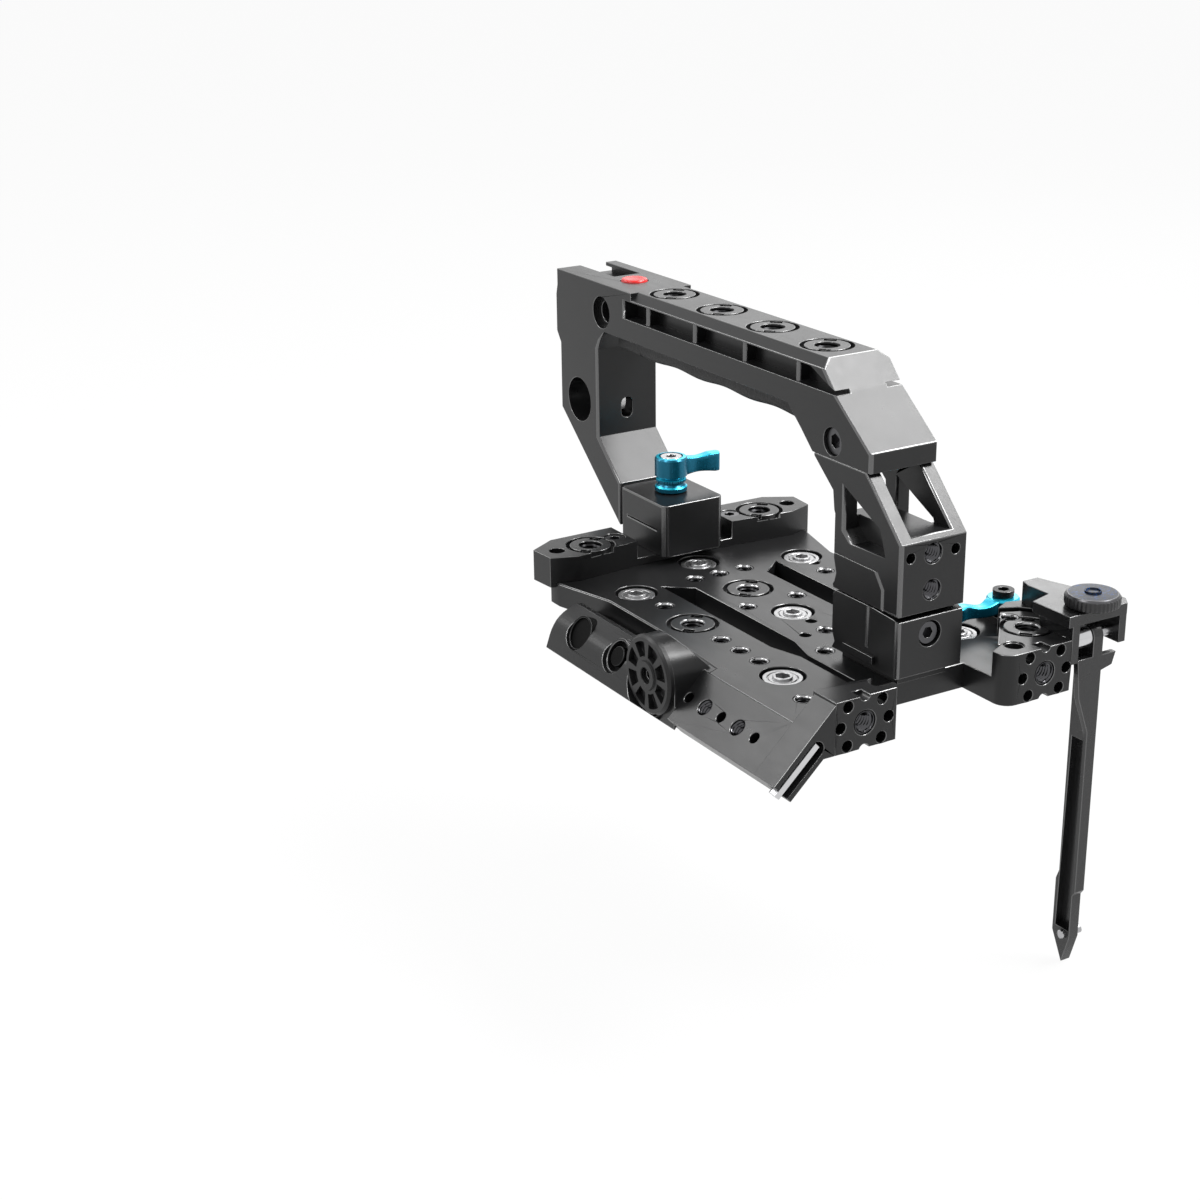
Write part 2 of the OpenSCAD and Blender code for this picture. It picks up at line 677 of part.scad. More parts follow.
module finger_grip() color([0.05, 0.05, 0.05])
    side_shape(concat([[100, beam_z + 4], [-10, beam_z + 4], [-10, beam_z - 0.3],
        [-13.6, beam_z - 0.3], [-21, beam_z - 7.3]],
        [for (y = [-19:2:99]) [y, beam_z - grip_deep - grip_wave * cos((y - 91) * 360 / handle_ring_pitch)]],
        [[116, beam_z - grip_deep], [117.6, beam_z - 0.3], [100, beam_z - 0.3]]), -8.7, 8.7);

module record_button() color([0.75, 0.07, 0.06]) difference() {
    union() {
        rod([0, button_y, handle_top - 5], button_d - 1.4, 5 + button_h);
        rod([0, button_y, handle_top - 5], button_d, 4);
    }
    translate([0, button_y, handle_top + button_h + 11.4]) sphere(d = 24);
}

module button_switch() color([0.3, 0.3, 0.3]) {
    rod([0, button_y, handle_top - 8], 10, 1);
    rod([0, button_y, handle_top - 7], 4, 0.7);
}

module handle_pins() color([0.35, 0.35, 0.36]) for (y = ring_ys) rod([0, y, handle_top - 12], three_d, 2);

module side_screw() color([0.2, 0.2, 0.21]) difference() {
    union() {
        rod_x([-half_w + 5, -42.3, 92.3], 6, 24);
        rod_x([-half_w + 1.4, -42.3, 92.3], 10, 3.6);
    }
    translate([-half_w + 1, -42.3, 92.3]) rotate([0, 90, 0]) cylinder(d = 5.77, h = 3, $fn = 6);
}

// Riser

module riser() color([0.14, 0.14, 0.15]) difference() {
    side_shape([[-riser_rear, foot_top + 0.6], [-riser_rear, 64.3], [-65.1, joint_z - 2.4],
        [-62.6, joint_z], [-31.6, joint_z], [-31.6, 84.7], [-43.6, 74.5], [-44.6, 67.1],
        [-riser_front, 66], [-riser_front, 51], [-71, 51], [-75.1, foot_top + 8.6],
        [-75.1, foot_top + 0.6]], -half_w, half_w);
    between([-cut_half, -90, 66], [cut_half, -30, joint_z + over]);
    for (s = [-1, 1])
        side_shape([[-50.7, 77.5], [-50.9, 61.2], [-56.4, 57.1], [-75, 57.7], [-71.6, 67.2]],
            s > 0 ? cut_half - over : -half_w - over, s > 0 ? half_w + over : -cut_half + over);
    rod_y([0, -riser_rear - over, 59.2], 8, 12);
    rod_y([0, -riser_rear - over, 45.4], 8, 10);
    for (s = [-1, 1]) rod_y([s * 10.1, -riser_rear - over, 59], 4, 8);
}

module riser_joint() color([0.16, 0.16, 0.17]) difference() {
    side_shape([[-75.1, foot_top + 0.6], [-75.1, foot_top + 8.6], [-71, 51], [-riser_front, 51],
        [-riser_front, 49], [-46.8, 43.4], [-riser_front, 38.1], [-riser_front, foot_top + 0.6]],
        -half_w, half_w);
    for (y = [-66, -54]) rod([0, y, foot_top], 6.2, 9);
}

module riser_foot() color([0.15, 0.15, 0.16]) difference() {
    side_shape([[-riser_rear, foot_z], [-riser_rear, foot_top - 1.4], [-80.8, foot_top - 0.7],
        [-69.3, foot_top], [-riser_front - 2, foot_top], [-riser_front, foot_top - 1.5],
        [-riser_front, 20.2], [-46.8, 16.5], [-riser_front, foot_z]], -half_w, half_w);
    rod_y([0, -riser_rear - over, foot_screw_z], 10, 6);
    rod_y([0, -riser_rear - over, foot_screw_z], 5.2, 30);
    for (s = [-1, 1]) between([s > 0 ? half_w - 0.6 : -half_w - over, -67.2, 20.8],
        [s > 0 ? half_w + over : -half_w + 0.6, -66.8, foot_top]);
}

module foot_screw() color([0.2, 0.2, 0.21]) difference() {
    union() {
        rod_y([0, -riser_rear + 1.2, foot_screw_z], 8.5, 3.8);
        rod_y([0, -riser_rear + 4, foot_screw_z], 5.2, 20);
    }
    translate([0, -riser_rear, foot_screw_z]) rotate([-90, 0, 0])
        cylinder(d = 4.62, h = 3.8, $fn = 6);
}

module rear_rail() color([0.2, 0.2, 0.21]) {
    between([-half_w + 2, -72, foot_top], [half_w - 2, -48, foot_top + 0.6]);
    between([-11, -80, plate_t], [11, -47, foot_z]);
    between([-half_w - 1.6, -71.4, foot_z + 2], [-half_w, -54.1, foot_z + 5]);
    for (y = [-66, -54]) rod([0, y, foot_top], 6.2, 8.4);
}

// Right pad and side arm

module pad_screw() color([0.5, 0.5, 0.52]) difference() {
    union() {
        rod([lever_x, -pad_lever_y, pad_seat], 6, 9);
        rod([lever_x, -pad_lever_y, pad_seat + 7], 8.4, 2.6);
    }
    hexagon([lever_x, -pad_lever_y, pad_seat + 7.2], 4, 4);
}

module pad_lever() color([0.05, 0.45, 0.6]) difference() {
    union() {
        rod([lever_x, -pad_lever_y, pad_seat + gap], 13, 6.4);
        translate([lever_x, -pad_lever_y, pad_seat + gap]) rotate([0, 0, pad_turn]) {
            flat_shape([[0, -lever_w * 0.62], [pad_reach * 0.45, -lever_w * 0.4],
                [pad_reach * 0.8, -lever_w * 0.56], [pad_reach + lever_w * 0.2, -lever_w * 0.46],
                [pad_reach + lever_w * 0.44, -lever_w * 0.16], [pad_reach + lever_w * 0.4, lever_w * 0.2],
                [pad_reach + lever_w * 0.1, lever_w * 0.44], [pad_reach * 0.8, lever_w * 0.46],
                [pad_reach * 0.45, lever_w * 0.5], [0, lever_w * 0.62]], 0.6, 6.2);
        }
    }
    rod([lever_x, -pad_lever_y, pad_seat - over], 6 + fit * 2, 12);
}

module hinge_frame() color([0.14, 0.14, 0.15]) difference() {
    union() {
        flat_shape([[block_out - 2, -80], [block_out - 2, -block_rear], [frame_out, -block_rear],
            [frame_out + 3, -96], [frame_out + 3, -86], [frame_out - 3, -78], [66, -76]],
            frame_top - frame_lid, frame_top);
        between([frame_in, -block_rear, block_top / 2], [frame_in + frame_wall, -82, frame_top - over]);
        between([frame_out - frame_wall, -block_rear, pivot_z - 4], [frame_out, -88, frame_top - over]);
        flat_shape([[62, -80], [61.5, -66], [63, -61.5], [70.5, -61.5], [73, -70], [77, -82]],
            pad_top, frame_top);
        between([frame_in, -86.6, 0], [frame_in + 4, -82, 10]);
    }
    between([0, -block_rear - over, 0], [block_out, -80, block_top]);
    flat_shape(plate_edge(0), -over, plate_t);
    flat_shape(pad_plan(), 0, block_top);
    flat_shape(boss_plan(), 0, pad_top);
    rod_x([frame_in - over, arm_y, pivot_z], pivot_d, frame_out - frame_in + over * 2);
    rod([arm_x, arm_y, frame_top - frame_lid - over], stem_d + fit * 2, frame_lid + over * 2);
}

module hinge_pin() color([0.7, 0.7, 0.71])
    rod_x([frame_in, arm_y, pivot_z], pivot_d, frame_out - frame_in);

module side_arm() color([0.13, 0.13, 0.14]) difference() {
    union() {
        rod_x([arm_x - arm_t / 2, arm_y, pivot_z], arm_w, arm_t);
        side_shape([[-arm_rear, pivot_z], [-arm_rear, -88], [-arm_rear + 1.4, -90],
            [-arm_rear + 1.4, -arm_tip + 12], [-arm_rear + 5, -arm_tip],
            [-arm_rear + arm_w + 1.5, -arm_tip + 12], [-arm_rear + arm_w + 1.5, -86],
            [-arm_rear + arm_w, -82], [-arm_rear + arm_w, pivot_z]],
            arm_x - arm_t / 2, arm_x + arm_t / 2);
        rear_shape([[57.2, 10.9], [59, -5], [arm_x - arm_t / 2, -20], [arm_x + arm_t / 2, -26],
            [68.8, 4.5], [74.4, 5.9], [76, 10.9]], -arm_rear, -arm_rear + 2.6);
    }
    rod_x([arm_x - arm_t, arm_y, pivot_z], pivot_d + fit * 2, arm_t * 2);
    rod_x([arm_x - arm_t, arm_y, -arm_tip + 12.6], 3.6, arm_t * 2);
    side_shape([[-arm_rear + 2, -24], [-arm_rear + 2, -106], [-arm_rear + arm_w, -106],
        [-arm_rear + arm_w - 1.6, -24]], arm_x - arm_t, arm_x + arm_t / 2 - 1.4);
}

module arm_nut() color([0.75, 0.75, 0.76]) difference() {
    rod_x([frame_in + frame_wall, arm_y, pivot_z], 8.6, arm_x - arm_t / 2 - frame_in - frame_wall - gap);
    rod_x([frame_in, arm_y, pivot_z], pivot_d, 20);
}

module stop_pin() color([0.7, 0.7, 0.71])
    rod_x([arm_x - arm_t / 2 - 1.5, arm_y, -arm_tip + 12.6], 3.6, arm_t + 5);

module arm_knob() color([0.1, 0.1, 0.1]) difference() {
    union() {
        rod([arm_x, arm_y, frame_top + gap], knob_d, knob_h);
        rod([arm_x, arm_y, frame_top - frame_lid], stem_d, frame_lid + over);
    }
    for (a = [0:15:345]) rod([arm_x + knob_d / 2 * cos(a), arm_y + knob_d / 2 * sin(a), frame_top],
        1.4, knob_h + over);
    rod([arm_x, arm_y, frame_top + gap + knob_h - 1], knob_d * 0.7, 3);
}

module knob_cap() color([0.2, 0.2, 0.2])
    rod([arm_x, arm_y, frame_top + gap + knob_h - 1], knob_d * 0.7, 1.4);

top_plate();
side_skirt();
front_bar();
bar_screws();
plate_screws();
rosette();
rosette_screw();
skirt_port();
skirt_plug();
hex_key();
clamp_block();
clamp_screw();
clamp_lever();
handle_frame();
finger_grip();
record_button();
button_switch();
handle_pins();
side_screw();
rod_screw();
riser();
riser_joint();
riser_foot();
foot_screw();
rear_rail();
pad_screw();
pad_lever();
hinge_frame();
hinge_pin();
side_arm();
arm_knob();
knob_cap();
arm_nut();
stop_pin();
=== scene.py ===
"""Looks of the camera cage: every sub-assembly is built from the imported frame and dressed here.

Lengths are millimetres and angles radians, unless a name or a comment says metres or degrees.
"""

import json
import logging
from dataclasses import dataclass
from enum import Enum
from math import cos, pi, radians, sin
from typing import Any, ClassVar

import bmesh
import bpy
import numpy as np
from mathutils import Matrix, Vector

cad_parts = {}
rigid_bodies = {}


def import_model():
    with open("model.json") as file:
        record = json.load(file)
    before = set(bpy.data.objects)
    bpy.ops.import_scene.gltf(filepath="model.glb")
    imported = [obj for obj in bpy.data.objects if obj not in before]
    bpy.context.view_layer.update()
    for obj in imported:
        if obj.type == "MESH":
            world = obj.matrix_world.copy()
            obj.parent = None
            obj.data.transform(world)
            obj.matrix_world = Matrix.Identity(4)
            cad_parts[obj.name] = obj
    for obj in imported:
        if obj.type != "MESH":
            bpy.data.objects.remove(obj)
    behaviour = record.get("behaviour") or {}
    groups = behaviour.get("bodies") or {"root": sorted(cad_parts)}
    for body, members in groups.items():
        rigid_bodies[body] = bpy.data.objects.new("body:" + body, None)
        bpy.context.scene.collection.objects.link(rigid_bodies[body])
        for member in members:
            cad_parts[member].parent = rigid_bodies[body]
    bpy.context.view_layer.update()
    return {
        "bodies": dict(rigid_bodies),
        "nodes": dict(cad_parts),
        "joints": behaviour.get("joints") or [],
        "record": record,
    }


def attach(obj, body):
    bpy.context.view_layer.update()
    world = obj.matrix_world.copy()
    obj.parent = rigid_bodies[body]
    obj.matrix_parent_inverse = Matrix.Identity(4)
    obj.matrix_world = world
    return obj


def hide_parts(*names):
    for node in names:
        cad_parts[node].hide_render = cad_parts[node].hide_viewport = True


log = logging.getLogger("camera_cage")
MM = 0.001
Point = tuple[float, float, float]
# Radius and height of each point
Profile = tuple[tuple[float, float], ...]
# Vertices n by 3, and triangles m by 3 that face outward
Part = tuple[np.ndarray, np.ndarray]


# Shader graphs

# The colour sockets of a Mix node, which share their names with its other sockets
MIX_FACTOR, MIX_A, MIX_B, MIX_RESULT = 0, 6, 7, 2


class Value:
    """A socket of a graph, with arithmetic that adds Math nodes."""

    def __init__(self, graph: "Graph", socket: bpy.types.NodeSocket) -> None:
        """Keeps the graph and one of its output sockets."""
        self.graph = graph
        self.socket = socket

    def __add__(self, other: Any) -> "Value":
        """Sum."""
        return self.graph.math("ADD", self, other)

    def __sub__(self, other: Any) -> "Value":
        """Difference."""
        return self.graph.math("SUBTRACT", self, other)

    def __rsub__(self, other: Any) -> "Value":
        """Difference with the value on the right."""
        return self.graph.math("SUBTRACT", other, self)

    def __mul__(self, other: Any) -> "Value":
        """Product."""
        return self.graph.math("MULTIPLY", self, other)

    def clamped(self, low: float, high: float) -> "Value":
        """The value held between two limits."""
        return self.graph.math("MINIMUM", self.graph.math("MAXIMUM", self, low), high)


class Graph:
    """The nodes of one material or world."""

    def __init__(self, owner: bpy.types.Material | bpy.types.World) -> None:
        """Empties the owner's nodes.

        Args:
            owner: the material or world that the graph belongs to.
        """
        self.owner = owner
        owner.use_nodes = True
        self.tree = owner.node_tree
        self.tree.nodes.clear()

    def node(self, kind: str, settings: dict | None = None, inputs: dict | None = None,
             output: int | str = 0) -> Value:
        """Adds any node.

        Args:
            kind: the node's type name.
            settings: properties of the node, and "stops" for a ramp, set before the inputs.
            inputs: a number, colour or Value for each input, by index or name.
            output: which output is given back.

        Returns:
            The chosen output as a Value.
        """
        made = self.tree.nodes.new(kind)
        for key, value in (settings or {}).items():
            if key == "stops":
                ramp = made.color_ramp.elements
                while len(ramp) < len(value):
                    ramp.new(0.5)
                for stop, (place, shade) in zip(ramp, value):
                    stop.position = place
                    stop.color = (shade, shade, shade, 1.0)
            else:
                setattr(made, key, value)
        for key, value in (inputs or {}).items():
            if isinstance(value, Value):
                self.tree.links.new(value.socket, made.inputs[key])
            elif isinstance(value, tuple) and len(value) == 3 and made.inputs[key].type == "RGBA":
                made.inputs[key].default_value = (*value, 1.0)
            else:
                made.inputs[key].default_value = value
        return Value(self, made.outputs[output])

    def math(self, operation: str, a: Any, b: Any) -> Value:
        """One Math node of two values."""
        return self.node("ShaderNodeMath", {"operation": operation}, {0: a, 1: b})

    def place(self) -> Value:
        """Object coordinates, which are the row frame in metres on every piece here."""
        return self.node("ShaderNodeTexCoord", output="Object")

    def noise(self, size: float, detail: float = 2.0, stretch: Point = (1.0, 1.0, 1.0)) -> Value:
        """Noise of 0 to 1 from a patch's metres, octaves and how much finer each axis is."""
        scaled = self.node("ShaderNodeMapping",
                           inputs={"Vector": self.place(), "Scale": Vector(stretch)})
        return self.node("ShaderNodeTexNoise", inputs={
            "Vector": scaled, "Scale": 1.0 / size, "Detail": detail, "Roughness": 0.6})

    def cells(self, size: float) -> Value:
        """Distance to the nearest of scattered points, 0 to about 1, from a cell's metres."""
        return self.node("ShaderNodeTexVoronoi",
                         inputs={"Vector": self.place(), "Scale": 1.0 / size})

    def ramp(self, factor: Value, stops: list[tuple[float, float]]) -> Value:
        """A grey ramp over a factor, from stops of place and shade."""
        return self.node("ShaderNodeValToRGB", {"stops": stops}, {0: factor})

    def blend(self, factor: Any, a: Any, b: Any) -> Value:
        """A mix of two colours."""
        return self.node("ShaderNodeMix", {"data_type": "RGBA"},
                         {MIX_FACTOR: factor, MIX_A: a, MIX_B: b}, output=MIX_RESULT)

    def bump(self, height: Value, strength: float, depth: float) -> Value:
        """A normal from a height of 0 to 1, the share of it that shows and its metres at 1."""
        return self.node("ShaderNodeBump",
                         inputs={"Strength": strength, "Distance": depth, "Height": height})

    def seen(self) -> Value:
        """1 for camera, glossy and transmitted rays, and 0 for others."""
        rays = [self.node("ShaderNodeLightPath", output=f"Is {kind} Ray")
                for kind in ("Camera", "Glossy", "Transmission")]
        return self.math("MAXIMUM", self.math("MAXIMUM", rays[0], rays[1]), rays[2])

    def principled(self, **inputs: Any) -> Value:
        """A principled shader, from inputs whose names have underscores for spaces."""
        named = {key.replace("_", " "): value for key, value in inputs.items()}
        return self.node("ShaderNodeBsdfPrincipled", inputs=named)

    def mixed(self, factor: Value, a: Value, b: Value) -> Value:
        """A mix of two shaders."""
        return self.node("ShaderNodeMixShader", inputs={0: factor, 1: a, 2: b})

    def ended(self, shader: Value, kind: str = "ShaderNodeOutputMaterial") -> Any:
        """Puts a shader on the owner's surface.

        Args:
            shader: the finished shader.
            kind: the output node's type name.

        Returns:
            The owner.
        """
        out = self.tree.nodes.new(kind)
        self.tree.links.new(shader.socket, out.inputs["Surface"])
        return self.owner


# Finishes

# The materials made so far, by name
MADE: dict[str, bpy.types.Material] = {}


@dataclass(frozen=True)
class Finish:
    """A finish that is made into one material the first time it is used.

    Sizes and depths in every kind of finish are metres.
    """

    name: str
    tint: Point

    def material(self) -> bpy.types.Material:
        """The material, made once."""
        if self.name not in MADE:
            graph = Graph(bpy.data.materials.new(self.name))
            MADE[self.name] = graph.ended(self.paint(graph))
        return MADE[self.name]

    def shade(self, share: float) -> Point:
        """The tint times a share."""
        return tuple(channel * share for channel in self.tint)

    def paint(self, graph: Graph) -> Value:
        """Fills the graph and gives its shader; each kind of finish has its own."""
        raise NotImplementedError


@dataclass(frozen=True)
class Anodised(Finish):
    """Bead-blasted anodised aluminium: a fine grain, soft mottling and light handling marks."""

    roughness: float = 0.34
    metallic: float = 0.0
    ior: float = 1.6
    grain: float = 0.5
    mottle_size: ClassVar[float] = 0.02
    grain_size: ClassVar[float] = 0.00025
    mark_size: ClassVar[float] = 0.004
    grain_depth: ClassVar[float] = 0.00002

    def paint(self, graph: Graph) -> Value:
        """Mottling changes colour and roughness, marks change roughness and the grain is bump."""
        mottle = graph.noise(self.mottle_size, 4.0)
        fine = graph.noise(self.grain_size, 2.0)
        rubbed = graph.noise(self.mark_size, 3.0, (1.0, 0.25, 1.0))
        tone = graph.blend((mottle * 0.7 + fine * 0.3).clamped(0, 1),
                           self.shade(0.78), self.shade(1.25))
        rough = (mottle - 0.5) * 0.10 + (rubbed - 0.5) * 0.08 + self.roughness
        return graph.principled(
            Base_Color=tone, Roughness=rough.clamped(0.1, 0.9), Metallic=self.metallic,
            IOR=self.ior, Normal=graph.bump(fine, self.grain, self.grain_depth))


@dataclass(frozen=True)
class Steel(Finish):
    """Turned or ground steel: fine lines and slight stains."""

    roughness: float = 0.24
    lines: Point = (1.0, 1.0, 14.0)
    line_size: ClassVar[float] = 0.0012
    stain_size: ClassVar[float] = 0.004
    line_depth: ClassVar[float] = 0.00002

    def paint(self, graph: Graph) -> Value:
        """Fine lines are bump and roughness, stains change the colour and the roughness."""
        line = graph.noise(self.line_size, 3.0, self.lines)
        stain = graph.noise(self.stain_size, 3.0)
        tone = graph.blend(stain, self.shade(0.86), self.tint)
        rough = (line - 0.5) * 0.16 + (stain - 0.5) * 0.08 + self.roughness
        return graph.principled(
            Base_Color=tone, Roughness=rough.clamped(0.06, 0.8), Metallic=1.0,
            Normal=graph.bump(line, 0.25, self.line_depth))


@dataclass(frozen=True)
class Moulded(Finish):
    """Moulded plastic or rubber: pimples and a soft sheen."""

    roughness: float = 0.5
    pimple: float = 0.0006
    depth: float = 0.00005
    wear_size: ClassVar[float] = 0.012

    def paint(self, graph: Graph) -> Value:
        """Rounded pimples are bump, with wear that lifts colour and roughness."""
        wear = graph.noise(self.wear_size, 4.0)
        pimple = graph.cells(self.pimple)
        tone = graph.blend(wear, self.shade(0.8), self.shade(1.3))
        rough = (wear - 0.5) * 0.14 + (0.5 - pimple) * 0.08 + self.roughness
        return graph.principled(
            Base_Color=tone, Roughness=rough.clamped(0.1, 1.0), IOR=1.5,
            Normal=graph.bump(1 - pimple, 0.6, self.depth))


@dataclass(frozen=True)
class Speckled(Finish):
    """A dark lacquer with metal flakes, as on the knob's inlay."""

    flake: Point = (0.02, 0.10, 0.34)
    flake_size: ClassVar[float] = 0.0007
    drift_size: ClassVar[float] = 0.004
    flake_depth: ClassVar[float] = 0.00003

    def paint(self, graph: Graph) -> Value:
        """Flakes are bluer and brighter than the ground, and come and go in wider drifts."""
        spots = graph.ramp(graph.noise(self.flake_size, 3.0), [(0.57, 0.0), (0.66, 1.0)])
        drift = graph.ramp(graph.noise(self.drift_size, 2.0), [(0.35, 0.15), (0.65, 1.0)])
        tone = graph.blend(graph.blend(drift, (0, 0, 0), spots), self.tint, self.flake)
        return graph.principled(
            Base_Color=tone, Roughness=0.30, IOR=1.25,
            Normal=graph.bump(spots, 0.3, self.flake_depth))


class Look(Enum):
    """Every finish on the cage."""

    BLACK = Anodised("black_anodised", (0.0080, 0.0081, 0.0085), roughness=0.30, ior=1.40)
    DARK = Anodised("dark_anodised", (0.0060, 0.0060, 0.0064), roughness=0.40, ior=1.38)
    MATT = Anodised("matt_black", (0.003, 0.003, 0.003), roughness=0.55, ior=1.15, grain=0.2)
    SATIN = Anodised("satin_anodised", (0.0110, 0.0111, 0.0116), roughness=0.26, ior=1.5)
    # The black parts' chamfers get this brighter, more reflective copy of the black finish: a
    # painted highlight along the edges
    EDGE = Anodised("cut_edge", (0.018, 0.018, 0.019), roughness=0.24, ior=2.1, grain=0.2)
    CYAN = Anodised("cyan_anodised", (0.002, 0.115, 0.19), roughness=0.26, metallic=0.6, ior=1.5)
    # The levers' faces that look up get this lighter cyan: a painted highlight where light falls on
    # their tops
    CYAN_LIT_TOP = Anodised("cyan_cut_edge", (0.01, 0.50, 0.70), roughness=0.24, metallic=0.6)
    STEEL = Steel("turned_steel", (0.44, 0.44, 0.45))
    BRIGHT = Steel("ground_steel", (0.62, 0.62, 0.63), roughness=0.18)
    DISC = Steel("disc_steel", (0.46, 0.46, 0.465), roughness=0.36, lines=(1.0, 1.0, 1.0))
    # The lead-in at each hole's mouth is real; its bright steel colour is a painted highlight on
    # that chamfer
    RIM_HIGHLIGHT = Steel("hole_rim", (0.36, 0.36, 0.365), roughness=0.22)
    KEY = Steel("key_steel", (0.62, 0.62, 0.63), roughness=0.22, lines=(1.0, 12.0, 1.0))
    OXIDE = Steel("black_oxide", (0.10, 0.10, 0.105), roughness=0.32)
    THREAD = Steel("thread_flank", (0.085, 0.085, 0.09), roughness=0.20)
    # A darker copy of the thread flank for holes that open upward: painted shade deep inside the
    # holes
    SHADED_THREAD = Steel("deep_thread", (0.022, 0.022, 0.023), roughness=0.34)
    RUBBER = Moulded("grip_rubber", (0.012, 0.012, 0.0125), roughness=0.62, pimple=0.0011,
                     depth=0.00018)
    PLASTIC = Moulded("knob_plastic", (0.012, 0.012, 0.013), roughness=0.40, pimple=0.0004)
    RED = Moulded("button_red", (0.62, 0.012, 0.012), roughness=0.28, pimple=0.0003,
                  depth=0.00001)
    INLAY = Speckled("knob_inlay", (0.006, 0.008, 0.014))

    def material(self) -> bpy.types.Material:
        """The look's material."""
        return self.value.material()


# Meshes

# Vertices of a CAD node within WELD millimetres are one, faces that bend by less than FLAT_DEG are
# one, and faces that bend by less than SMOOTH_DEG are shaded as one
WELD = 0.002
FLAT_DEG = 0.4
SMOOTH_DEG = 26.0
# Widths of chamfers in millimetres
SCREW_EDGE, SMALL_EDGE, WALL_EDGE, BODY_EDGE, PORT_EDGE = 0.12, 0.18, 0.22, 0.24, 0.3
# An edge can get the wide rounding from this length in millimetres
LONG_EDGE = 4.0
# The wide rounding lies between a face whose normal's x is below LEFT and one whose y is below REAR
LEFT, REAR = -0.95, -0.5
# A face looks up where its normal's z is above this, and can then get a lighter finish as painted
# light
UP = 0.6
# Directions
LEFTWARD, REARWARD = (-1, 0, 0), (0, -1, 0)


def basis(axis: Point) -> np.ndarray:
    """A turn that carries +z onto an axis, with x level where it can be.

    Args:
        axis: the direction, of any length.

    Returns:
        A 3 by 3 array whose columns are the turned x, y and z.
    """
    z = np.array(axis, float) / np.linalg.norm(axis)
    side = np.array([0.0, 0.0, 1.0]) if abs(z[2]) < 0.9 else np.array([0.0, 1.0, 0.0])
    x = np.cross(side, z)
    x /= np.linalg.norm(x)
    return np.column_stack([x, np.cross(z, x), z])


def angles(count: int, shift: float = 0.0) -> np.ndarray:
    """Even angles of a full turn, set on by a share of a step."""
    return (np.arange(count) + shift) * 2 * pi / count


def polar(r: np.ndarray, u: np.ndarray, z: np.ndarray) -> np.ndarray:
    """The points (r cos u, r sin u, z), with the arrays spread over one another."""
    return np.stack(np.broadcast_arrays(r * np.cos(u), r * np.sin(u), z), -1)


def rounded(count: int, square: float) -> tuple[np.ndarray, np.ndarray]:
    """A superellipse: across is sign(cos u) |cos u|^square, and upward the same of sin u.

    Args:
        count: points round it.
        square: the exponent; a smaller one is squarer.

    Returns:
        The points' places across and upward.
    """
    u = angles(count, 0.5)
    return (np.sign(np.cos(u)) * np.abs(np.cos(u)) ** square,
            np.sign(np.sin(u)) * np.abs(np.sin(u)) ** square)


def hump(t: np.ndarray, times: float = 1.0) -> np.ndarray:
    """Half a sine wave, sin(pi t times), until t is 1 / times, and 0 after it."""
    return np.sin(pi * np.clip(t * times, 0, 1))


def tip(t: np.ndarray) -> np.ndarray:
    """Along t of 0 to 1, a blade's share of its width: 1, then a quarter ellipse from t = 0.9."""
    return np.sqrt(np.clip(1 - np.clip((t - 0.9) / 0.104, 0, 1) ** 2, 0.02, 1))


def way_out(hub: tuple[float, float], span: tuple[float, float], turn_deg: float, t: np.ndarray,
            bend: np.ndarray | float = 0.0) -> np.ndarray:
    """Plan points from a hub outward.

    A point lies start + (end - start) t along the direction, and bend to its left.

    Args:
        hub: the hub's middle in plan.
        span: the distances from it of the path's start and end.
        turn_deg: the direction, from +x toward +y.
        t: the places along the path, 0 to 1.
        bend: how far each point lies to the left.

    Returns:
        An n by 2 array.
    """
    along = span[0] + (span[1] - span[0]) * t
    a = radians(turn_deg)
    return np.stack([hub[0] + along * cos(a) - bend * sin(a),
                     hub[1] + along * sin(a) + bend * cos(a)], -1)


def rings_mesh(rings: np.ndarray, loop: bool = False) -> Part:
    """Vertices and triangles of a closed tube of rings.

    Ring i and ring i + 1 are joined by quads, each cut in two. An open row of rings is closed at
    both ends by a fan to the ring's middle, and a looped row joins its last ring to its first.

    Args:
        rings: array of rings by points round by 3.
        loop: whether the last ring joins the first.

    Returns:
        The part.
    """
    count, around, _ = rings.shape
    verts = rings.reshape(-1, 3)
    i, j = np.meshgrid(np.arange(count if loop else count - 1), np.arange(around), indexing="ij")
    a, b = i * around + j, i * around + (j + 1) % around
    c, d = ((i + 1) % count) * around + (j + 1) % around, ((i + 1) % count) * around + j
    faces = [np.stack([a, b, c], -1).reshape(-1, 3), np.stack([a, c, d], -1).reshape(-1, 3)]
    if not loop:
        verts = np.vstack([verts, rings[0].mean(0), rings[-1].mean(0)])
        k = np.arange(around)
        n = (k + 1) % around
        low, high = np.full(around, count * around), np.full(around, count * around + 1)
        last = (count - 1) * around
        faces += [np.stack([n, k, low], -1), np.stack([last + k, last + n, high], -1)]
    tris = np.vstack(faces)
    p = verts[tris]
    # A negative volume means that the triangles face inward
    if np.einsum("ij,ij->", p[:, 0], np.cross(p[:, 1], p[:, 2])) < 0:
        tris = tris[:, ::-1]
    return verts, tris


